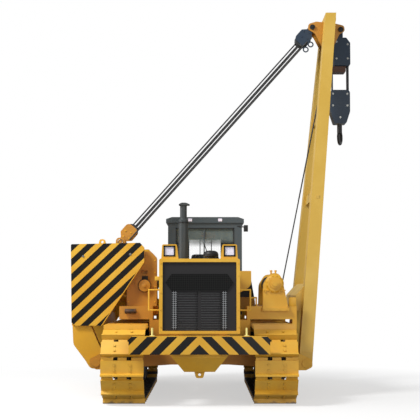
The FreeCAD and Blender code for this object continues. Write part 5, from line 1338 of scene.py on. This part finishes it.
# The hoist winch's split line crosses its front face under the drum.
WINCH_FACE = DATUM_Y - 0.990
SPLIT_DOWN = 0.089
SPLIT_REACH = (0.164, 0.152)
SPLIT_HALF = 0.007
SPLIT_DEPTH = (0.014, 0.004)
SPLIT_BOLTS = (-0.13, -0.065, 0.0, 0.065, 0.13)
SPLIT_BOLT_DOWN = 0.022
SPLIT_BOLT_PROUD = 0.010
FLANGE_BOLTS = (-0.15, -0.05, 0.06, 0.16)
FLANGE_BOLT_UP = 0.022
FLANGE_BOLT_PROUD = 0.020
LUFF_EDGE = 0.185
LUFF_BOLTS = ((-1, -0.26), (1, -0.26), (1, -0.05), (1, 0.15), (1, 0.32), (-1, -0.1))


class PIPELAYER_OT_winch_bolts(bpy.types.Operator):
    """Bolt both winches' housings, and mark the hoist winch's split line"""
    bl_idname = "pipelayer.winch_bolts"
    bl_label = "Winch bolts"

    def execute(self, context):
        drum = middle("hoist_drum")
        split = drum.z - SPLIT_DOWN
        seam = box_piece(
            (drum.x - SPLIT_REACH[0], WINCH_FACE - SPLIT_DEPTH[0], split - SPLIT_HALF),
            (drum.x + SPLIT_REACH[1], WINCH_FACE + SPLIT_DEPTH[1], split + SPLIT_HALF), edge_mm=2.0)
        piece([seam], "winch_seam", "chassis", "yellow_paint")
        front = Vector((drum.x, low("hoist_winch").y - STANDOFF, drum.z))
        bolts = ring_of_seats("hoist_winch", front, REARWARD, *DRUM_CIRCLE)
        for row, proud, z in (
                (SPLIT_BOLTS, SPLIT_BOLT_PROUD, split - SPLIT_BOLT_DOWN),
                (FLANGE_BOLTS, FLANGE_BOLT_PROUD, low("hoist_winch").z + FLANGE_BOLT_UP)):
            for x in row:
                bolts.append((Vector((drum.x + x, WINCH_FACE - proud, z)), -REARWARD))
        luff = middle("luff_drum")
        front = Vector((luff.x, low("luff_winch").y - STANDOFF, luff.z))
        for side, z in LUFF_BOLTS:
            bolts.append(seat("luff_winch", front + Vector((side * LUFF_EDGE, 0.0, z)), REARWARD))
        piece(stamped(bolt_pattern(*WINCH_BOLT), bolts), "winch_bolts", "chassis", "yellow_paint")
        return {"FINISHED"}


# Millimetres off the middle plane, ahead of the luffing winch's front and above the ground.
# A dark block stands in for the slot's shade: painted shade.
FRAME_SLOT_SHADE = ((-815, 3, 1646), (-730, -1, 1703))
FRAME_COVER = (-779, 0, 1567)
COVER_RING = (88.0, 4.0)
# Radius, and reach behind and ahead of the winch's front.
COVER_DISC = (84.0, 0.002, 0.010)
COVER_BOSS = (30.0, 0.020)


class PIPELAYER_OT_winch_cover(bpy.types.Operator):
    """Cover the luffing winch's gear opening, and put a dark block over it as the painted shade of a slot"""
    bl_idname = "pipelayer.winch_cover"
    bl_label = "Winch cover"

    def execute(self, context):
        cover = ahead_of("luff_winch", *FRAME_COVER)
        # Painted shade: the dark block where the slot is.
        dark = [box_ahead_of("luff_winch", FRAME_SLOT_SHADE, edge_mm=1.0),
                ring_piece(cover, REARWARD, *COVER_RING, turns=40, sides=6)]
        piece(dark, "winch_frame_slot_shade", "chassis", "dark_paint", "rubber")
        radius, sunk, proud = COVER_DISC
        disc = [rod_piece(cover + REARWARD * sunk, cover - REARWARD * proud, radius, sides=40, edge_mm=3.0),
                rod_piece(cover, cover - REARWARD * COVER_BOSS[1], COVER_BOSS[0], sides=6, edge_mm=3.0)]
        # The cover takes the winch frame's amber painted shade.
        piece(disc, "winch_frame_cover", "chassis", "yellow_paint", "shaded_amber_paint")
        return {"FINISHED"}


# Millimetres off the middle plane, ahead of the weight side's frame and above the ground.
VALVE = ((-1040, 34, 1212), (-880, 34, 1212))
VALVE_RADIUS = 33.0
VALVE_CLAMP = ((-975, 50, 1182), (-945, -1, 1242))
# Corners in mm in the machine's own frame.
BRACKET = ((1236, -952, 1280), (1340, -940, 1404))
BRACKET_WEB = ((1282, -942, 1280), (1294, -862, 1370))
TOWER_PIN = (-1200, 4, 2230)
TOWER_COLLAR = (34.0, 5.0)


class PIPELAYER_OT_side_frames(bpy.types.Operator):
    """Hang a valve and a bracket on the side frames' beams, and collar the tower's pin"""
    bl_idname = "pipelayer.side_frames"
    bl_label = "Side frame fittings"

    def execute(self, context):
        start, end = (ahead_of("weight_side_frame", *point) for point in VALVE)
        valve = [rod_piece(start, end, VALVE_RADIUS, sides=24, edge_mm=8.0),
                 box_ahead_of("weight_side_frame", VALVE_CLAMP, edge_mm=4.0)]
        piece(valve, "beam_valve", "chassis", "dark_paint", "cast_steel")
        bracket = [box_at(BRACKET, edge_mm=5.0), box_at(BRACKET_WEB, edge_mm=4.0)]
        piece(bracket, "beam_bracket", "chassis", "yellow_paint")
        collar = ring_piece(ahead_of("tackle_tower", *TOWER_PIN), REARWARD, *TOWER_COLLAR)
        piece([collar], "tower_pin_collar", "chassis", "bare_steel")
        return {"FINISHED"}


# ---- hook block and load block ------------------------------------------------------------
CHEEK_BOLT = (12.0, 10.0)
LOAD_BLOCK_X = 2130
# Bolts' places off a block's middle and under its top.
HOOK_CHEEK_BOLTS = ((-0.11, -0.06), (0.11, -0.06), (-0.11, -0.24), (0.11, -0.24), (0.0, -0.42))
LOAD_CHEEK_BOLTS = ((-0.06, -0.22), (0.11, -0.26), (-0.06, -0.48), (0.11, -0.48))
HOOK_COLLAR = (46.0, 8.0)


def cheek_seats(node_name, x, spots):
    """Seats on a block's front and rear cheeks."""
    seats = []
    for off, down in spots:
        z = high(node_name).z + down
        seats.append(seat(node_name, (x + off, low(node_name).y - STANDOFF, z), REARWARD))
        seats.append(seat(node_name, (x + off, high(node_name).y + STANDOFF, z), -REARWARD))
    return seats


class PIPELAYER_OT_blocks(bpy.types.Operator):
    """Bolt the cheeks of the hook block and the load block, and collar the hook"""
    bl_idname = "pipelayer.blocks"
    bl_label = "Block bolts"

    def execute(self, context):
        block = middle("hook_block")
        seats = cheek_seats("hook_block", block.x, HOOK_CHEEK_BOLTS)
        seats += cheek_seats("load_block", at(LOAD_BLOCK_X, 0, 0).x, LOAD_CHEEK_BOLTS)
        piece(stamped(bolt_pattern(*CHEEK_BOLT), seats), "block_bolts", "load_tackle", "bare_steel")
        collar = ring_piece((block.x, block.y, low("hook_block").z), UPWARD, *HOOK_COLLAR)
        piece([collar], "hook_collar", "load_tackle", "bare_steel")
        return {"FINISHED"}


# ---- ropes --------------------------------------------------------------------------------
# The halves of a line ride on two bodies and slide past each other, so each has its own lane.
ROPE_LANE = 0.012
ROPE_SIDES = 10
# Lines start this far from a block's pin and end at their reach; they lie this far off the pins' line.
BLOCK_LENGTH = 0.200
LUFF_REACH = 4.150
LUFF_LINES = (0.036, -0.004, -0.024, -0.057)
# The outermost part of line passes ahead of the blocks.
FRONT_LINE = -0.084
FRONT_LINE_START = 0.11
FRONT_LINE_PROUD = 0.014
FRONT_LINE_APART = 0.022


def luff_line(pin, towards, start, across, lane, radius_mm):
    """One part of line from a luffing block towards the other, set off the line between their pins."""
    along = (towards - pin).normalized()
    side = Vector((-along.z, 0.0, along.x))
    shift = side * across + REARWARD * lane
    return rod_piece(pin + along * start + shift, pin + along * LUFF_REACH + shift, radius_mm, ROPE_SIDES)


class PIPELAYER_OT_luff_lines(bpy.types.Operator):
    """String the luffing tackle between its two blocks"""
    bl_idname = "pipelayer.luff_lines"
    bl_label = "Luffing lines"

    def execute(self, context):
        radius = context.scene.pipelayer_sizes.rope / MM
        foot = ANCHOR["luff_tackle_lower_swing"]
        head = ANCHOR["luff_tackle_upper_swing"]
        front = low("luff_block_lower").y - FRONT_LINE_PROUD - foot.y
        lower = [luff_line(foot, head, BLOCK_LENGTH, across, -ROPE_LANE, radius) for across in LUFF_LINES]
        lower.append(luff_line(foot, head, FRONT_LINE_START, FRONT_LINE, front, radius))
        upper = [luff_line(head, foot, BLOCK_LENGTH, -across, ROPE_LANE, radius) for across in LUFF_LINES]
        upper.append(luff_line(head, foot, BLOCK_LENGTH, -FRONT_LINE, front + FRONT_LINE_APART, radius))
        for strands, end in ((lower, "lower"), (upper, "upper")):
            line = piece(strands, "luff_strands_" + end, "luff_tackle_" + end, "wire_rope", "luff_rope")
            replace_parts(line, "luff_ropes_" + end)
        return {"FINISHED"}


# The hoist line runs from the drum past a guide pin to the far side of the head's sheave.
# The pin stands beside the line's bend, and its arm joins it to the winch's rear end plate.
GUIDE_OUT = 0.080
GUIDE_FROM_LINE = Vector((-0.0295, -0.04, 0.012))
GUIDE_RADIUS = 19.0
GUIDE_THROUGH = 0.012
ARM_FROM_REAR = 0.045
ARM_DEPTH = 0.014
ARM_REACH = (0.06, 0.022)
HEAD_SIDE = Vector((0.172, 0.0, -0.034))
HOIST_REACH_LOWER = 2.720
HOIST_REACH_UPPER = 2.560


class PIPELAYER_OT_hoist_line(bpy.types.Operator):
    """String the hoist line from its drum over a guide pin to the boom's head"""
    bl_idname = "pipelayer.hoist_line"
    bl_label = "Hoist line"

    def execute(self, context):
        radius = context.scene.pipelayer_sizes.rope / MM
        lane = REARWARD * ROPE_LANE
        drum_side = ANCHOR["hoist_line_lower_swing"]
        foot = drum_side + RIGHTWARD * GUIDE_OUT
        head = ANCHOR["hoist_line_upper_swing"] + HEAD_SIDE
        along = (head - foot).normalized()
        bent = [drum_side - lane, foot - lane, foot - lane + along * HOIST_REACH_LOWER]
        lower = bar_through(bent, radius, ROPE_SIDES)
        upper = rod_piece(head + lane, head + lane - along * HOIST_REACH_UPPER, radius, ROPE_SIDES)
        guide = foot + GUIDE_FROM_LINE
        arm = high("hoist_winch").y - ARM_FROM_REAR
        end = Vector((guide.x, arm + GUIDE_THROUGH, guide.z))
        pin = rod_piece(guide, end, GUIDE_RADIUS, edge_mm=2.0)
        piece([pin], "hoist_rope_guide", "chassis", "yellow_paint", "bare_steel")
        bracket = box_piece((guide.x - ARM_REACH[0], arm, guide.z - ARM_REACH[1]),
                            (guide.x + ARM_REACH[1], arm + ARM_DEPTH, guide.z + ARM_REACH[1]), edge_mm=3.0)
        piece([bracket], "hoist_guide_arm", "chassis", "yellow_paint")
        at_winch = piece(lower, "hoist_line_at_winch", "hoist_line_lower", "wire_rope", "hoist_rope")
        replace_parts(at_winch, "hoist_rope_lower")
        at_head = piece([upper], "hoist_line_at_head", "hoist_line_upper", "wire_rope", "hoist_rope")
        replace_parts(at_head, "hoist_rope_upper")
        return {"FINISHED"}


# Two pairs of falls and one outer fall, from the hook block's sides; the right ones reach into the load
# block's body, and the left ones end at its lower edge.
FALL_LEFT = 0.042
FALL_RIGHT = 0.030
FALL_OUTER = 0.012
FALL_LANES = (-0.030, 0.030)
FALL_SUNK = 0.004
LOAD_BODY_UP = 0.104


class PIPELAYER_OT_falls(bpy.types.Operator):
    """String the falls between the load block and the hook block"""
    bl_idname = "pipelayer.falls"
    bl_label = "Falls"

    def execute(self, context):
        radius = context.scene.pipelayer_sizes.rope / MM
        bottom = high("hook_block").z - FALL_SUNK
        cheek = low("load_block").z + FALL_SUNK
        body = low("load_block").z + LOAD_BODY_UP
        left = low("hook_block").x + FALL_LEFT
        right = high("hook_block").x - FALL_RIGHT
        outer = high("hook_block").x - FALL_OUTER
        runs = []
        for lane in FALL_LANES:
            runs += [(left, lane, cheek), (right, lane, body)]
        runs.append((outer, 0.0, body))
        falls = []
        for x, lane, top in runs:
            y = middle("hook_block").y + lane
            falls.append(rod_piece((x, y, bottom), (x, y, top), radius, ROPE_SIDES))
        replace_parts(piece(falls, "load_block_falls", "load_tackle", "wire_rope", "fall_rope"), "load_falls")
        return {"FINISHED"}


# ---- boom head and luffing blocks ---------------------------------------------------------
# Two rings beside the upper block keep slack rope in its place: along from the pin, and off the lines.
GUIDE_RINGS = ((0.208, 0.152), (0.316, 0.148))
GUIDE_RING = (36.0, 10.0)
GUIDE_RING_PROUD = 0.012
# Radius, and reach behind and ahead of the head's front.
HEAD_PIN = (40.0, 0.002, 0.016)
HEAD_PIN_NUT = (16.0, 0.026)


class PIPELAYER_OT_boom_head(bpy.types.Operator):
    """Add the upper block's rope rings and the covers of the head's pins"""
    bl_idname = "pipelayer.boom_head"
    bl_label = "Boom head"

    def execute(self, context):
        pin = ANCHOR["luff_tackle_upper_swing"]
        along = (ANCHOR["luff_tackle_lower_swing"] - pin).normalized()
        side = Vector((-along.z, 0.0, along.x))
        front = low("luff_block_upper").y - GUIDE_RING_PROUD
        rings = []
        for reach, off in GUIDE_RINGS:
            centre = pin + along * reach + side * off
            centre.y = front
            rings.append(ring_piece(centre, REARWARD, *GUIDE_RING, turns=20, sides=6))
        piece(rings, "rope_guides", "luff_tackle_upper", "block_paint")
        radius, sunk, proud = HEAD_PIN
        nut, height = HEAD_PIN_NUT
        covers = []
        for name in ("luff_tackle_upper_swing", "load_block_swing"):
            place = Vector((ANCHOR[name].x, low("boom_head").y, ANCHOR[name].z))
            sunk_end = place + REARWARD * sunk
            covers.append(rod_piece(sunk_end, place - REARWARD * proud, radius, sides=28, edge_mm=3.0))
            covers.append(rod_piece(place, place - REARWARD * height, nut, sides=6, edge_mm=2.0))
        piece(covers, "head_pins", "boom", "dark_paint")
        return {"FINISHED"}


# Sheaves stand ahead of a block's middle, where the lines leave it.
SHEAVE_AHEAD = 0.098
SHEAVE_LANES = (-0.058, 0.0, 0.058)
SHEAVE_HALF = 0.018
LUFF_BLOCK_BOLT = (10.0, 9.0)
LUFF_BLOCK_CIRCLE = (62.0, 4, math.radians(20.0))


class PIPELAYER_OT_luff_blocks(bpy.types.Operator):
    """Fill the luffing blocks with sheaves and bolt their cheeks"""
    bl_idname = "pipelayer.luff_blocks"
    bl_label = "Luffing blocks"

    def execute(self, context):
        radius = context.scene.pipelayer_sizes.sheave / MM
        for end, other in (("lower", "upper"), ("upper", "lower")):
            name = "luff_block_" + end
            body = "luff_tackle_" + end
            along = (ANCHOR["luff_tackle_" + other + "_swing"] - ANCHOR[body + "_swing"]).normalized()
            sheaves = []
            for lane in SHEAVE_LANES:
                hub = middle(name) + along * SHEAVE_AHEAD + REARWARD * lane
                half = REARWARD * SHEAVE_HALF
                sheaves.append(rod_piece(hub - half, hub + half, radius, sides=32, edge_mm=5.0))
            piece(sheaves, name + "_sheaves", body, SLOT_OF[name], "sheave_steel")
            seats = []
            for side in SIDES:
                start = middle(name) + REARWARD * side * STANDOFF
                seats += ring_of_seats(name, start, REARWARD * -side, *LUFF_BLOCK_CIRCLE)
            piece(stamped(bolt_pattern(*LUFF_BLOCK_BOLT), seats), name + "_bolts", body, SLOT_OF[name])
        return {"FINISHED"}


# ---- counterweight ------------------------------------------------------------------------
WEIGHT_BOLT = (13.0, 12.0)
# Millimetres off the middle plane and above the ground.
WEIGHT_BOLTS = ((-1631, 1976), (-975, 2004))


class PIPELAYER_OT_weight(bpy.types.Operator):
    """Bolt the counterweight's end plates to its slabs"""
    bl_idname = "pipelayer.weight"
    bl_label = "Counterweight bolts"

    def execute(self, context):
        foot = low("counterweight")
        top = high("counterweight")
        seats = []
        for x, z in WEIGHT_BOLTS:
            seats.append(seat("counterweight", (at(x, 0, 0).x, foot.y - STANDOFF, z * MM), REARWARD))
            seats.append(seat("counterweight", (at(x, 0, 0).x, top.y + STANDOFF, z * MM), -REARWARD))
        piece(stamped(bolt_pattern(*WEIGHT_BOLT), seats), "weight_plate_bolts", "counterweight", "bare_steel")
        return {"FINISHED"}


# ---- studio -------------------------------------------------------------------------------
# The camera's place in mm in the machine's own frame, and its turn in degrees.
CAMERA_PLACE = (72.6, -14056.0, 1484.9)
CAMERA_PITCH = 3.425
CAMERA_YAW = -0.296
CAMERA_SHIFT = 0.06
# Each soft light's place, size across and share of the key light's power.
LIGHTS = {
    "key": ((-7.0, -6.0, 10.5), 3.0, 1.0),
    "left": ((-10.0, -3.0, 4.0), 5.0, 0.3),
    "fill": ((4.0, -12.0, 2.6), 6.0, 0.3),
}
LIGHT_AIM = Vector((0.0, 0.0, 2.0))
FLOOR_SIZE = 400.0
FLOOR_DROP = 0.002
# The floor turns from a shadow's ground to plain white between these distances from the middle.
FLOOR_FADE = (2.6, 5.5)
FLOOR_GLOW = 0.55
UNSEEN_GLOW = 0.28
WHITE = (1.0, 1.0, 1.0, 1.0)


def add_light(name, place, size, power):
    """One soft square light that faces the machine."""
    data = bpy.data.lights.new(name, "AREA")
    data.size = size
    data.energy = power
    light = bpy.data.objects.new(name, data)
    light.location = place
    light.rotation_euler = (LIGHT_AIM - Vector(place)).to_track_quat("-Z", "Y").to_euler()
    bpy.context.scene.collection.objects.link(light)


def add_floor():
    """Pale floor that holds the shadow near the machine and turns to plain white further out."""
    bpy.ops.mesh.primitive_plane_add(size=FLOOR_SIZE, location=(0.0, 0.0, -FLOOR_DROP))
    floor = bpy.context.active_object
    floor.name = "floor"
    settled()
    pale = linear("#F6F6F6")
    material, tree, shader = new_material("pale_studio_floor", pale, 0.95, Specular_IOR_Level=0.0)
    axes = axes_of(tree)
    away = fade(tree, span(tree, axes["X"], axes["Y"]), *FLOOR_FADE)
    seen = node(tree, "ShaderNodeLightPath").outputs["Is Camera Ray"]
    glow = maths(tree, "MULTIPLY_ADD", seen, 1.0 - UNSEEN_GLOW, UNSEEN_GLOW)
    join(tree, shader.inputs["Base Color"], mixed(tree, seen, linear("#9C9C9C"), pale))
    white = node(tree, "ShaderNodeEmission", Color=WHITE, Strength=glow)
    share = maths(tree, "MULTIPLY_ADD", away, 1.0 - FLOOR_GLOW, FLOOR_GLOW)
    surface(tree, node(tree, "ShaderNodeMixShader", i0=share, i1=shader.outputs[0], i2=white.outputs[0]))
    floor.data.materials.append(material)


def add_world(scene, strength):
    """White for the eye and in glass, and a plain even light for the surfaces."""
    world = bpy.data.worlds.new("studio")
    scene.world = world
    world.use_nodes = True
    tree = world.node_tree
    path = node(tree, "ShaderNodeLightPath")
    plain = maths(tree, "MAXIMUM", path.outputs["Is Camera Ray"], path.outputs["Is Transmission Ray"])
    background = tree.nodes["Background"]
    join(tree, background.inputs["Strength"], maths(tree, "MULTIPLY_ADD", plain, 1.0 - strength, strength))
    background.inputs["Color"].default_value = WHITE


class PIPELAYER_OT_stage(bpy.types.Operator):
    """Add the floor, the lights and the camera"""
    bl_idname = "pipelayer.stage"
    bl_label = "Stage"

    def execute(self, context):
        settings = context.scene.pipelayer_stage
        add_floor()
        add_world(context.scene, settings.sky)
        for name, (place, size, share) in LIGHTS.items():
            add_light(name, place, size, settings.key_power * share)
        lens = bpy.data.cameras.new("camera")
        lens.lens = settings.lens
        lens.shift_y = CAMERA_SHIFT
        camera = bpy.data.objects.new("camera", lens)
        camera.location = at(*CAMERA_PLACE)
        camera.rotation_euler = Euler((math.radians(90.0 + CAMERA_PITCH), 0.0, math.radians(CAMERA_YAW)))
        context.scene.collection.objects.link(camera)
        context.scene.camera = camera
        context.scene.view_settings.view_transform = "Standard"
        return {"FINISHED"}


# ---- add-on -------------------------------------------------------------------------------
OPERATORS = (
    PIPELAYER_OT_finish,
    PIPELAYER_OT_shoes,
    PIPELAYER_OT_hubs,
    PIPELAYER_OT_lamp_rims,
    PIPELAYER_OT_guard,
    PIPELAYER_OT_hood,
    PIPELAYER_OT_exhaust,
    PIPELAYER_OT_rail_feet,
    PIPELAYER_OT_window_seals,
    PIPELAYER_OT_door_lock,
    PIPELAYER_OT_window_bars,
    PIPELAYER_OT_wiper,
    PIPELAYER_OT_roof_lamps,
    PIPELAYER_OT_mirror,
    PIPELAYER_OT_cab_trim,
    PIPELAYER_OT_seat,
    PIPELAYER_OT_winch_bolts,
    PIPELAYER_OT_winch_cover,
    PIPELAYER_OT_side_frames,
    PIPELAYER_OT_blocks,
    PIPELAYER_OT_luff_lines,
    PIPELAYER_OT_hoist_line,
    PIPELAYER_OT_falls,
    PIPELAYER_OT_boom_head,
    PIPELAYER_OT_luff_blocks,
    PIPELAYER_OT_weight,
    PIPELAYER_OT_stage,
)
SETTINGS = {
    "pipelayer_colours": PipelayerColours,
    "pipelayer_sizes": PipelayerSizes,
    "pipelayer_stage": PipelayerStage,
}


class PIPELAYER_PT_panel(bpy.types.Panel):
    """Settings, and a button for each piece or group of like pieces"""
    bl_label = "Pipelayer"
    bl_idname = "PIPELAYER_PT_panel"
    bl_space_type = "VIEW_3D"
    bl_region_type = "UI"
    bl_category = "Pipelayer"

    def draw(self, context):
        for name, group in SETTINGS.items():
            for setting in group.__annotations__:
                self.layout.prop(getattr(context.scene, name), setting)
        for made in OPERATORS:
            self.layout.operator(made.bl_idname)


CLASSES = (*SETTINGS.values(), *OPERATORS, PIPELAYER_PT_panel)


def register():
    """Registers the classes and the scene's settings."""
    for made in CLASSES:
        bpy.utils.register_class(made)
    for name, group in SETTINGS.items():
        setattr(bpy.types.Scene, name, PointerProperty(type=group))


def unregister():
    """Takes the settings and the classes away again."""
    for name in SETTINGS:
        delattr(bpy.types.Scene, name)
    for made in reversed(CLASSES):
        bpy.utils.unregister_class(made)


def main():
    """Registers the add-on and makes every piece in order."""
    register()
    for made in OPERATORS:
        name = made.bl_idname.split(".")[1]
        if getattr(bpy.ops.pipelayer, name)() != {"FINISHED"}:
            raise RuntimeError(made.bl_idname)


if __name__ == "__main__":
    main()
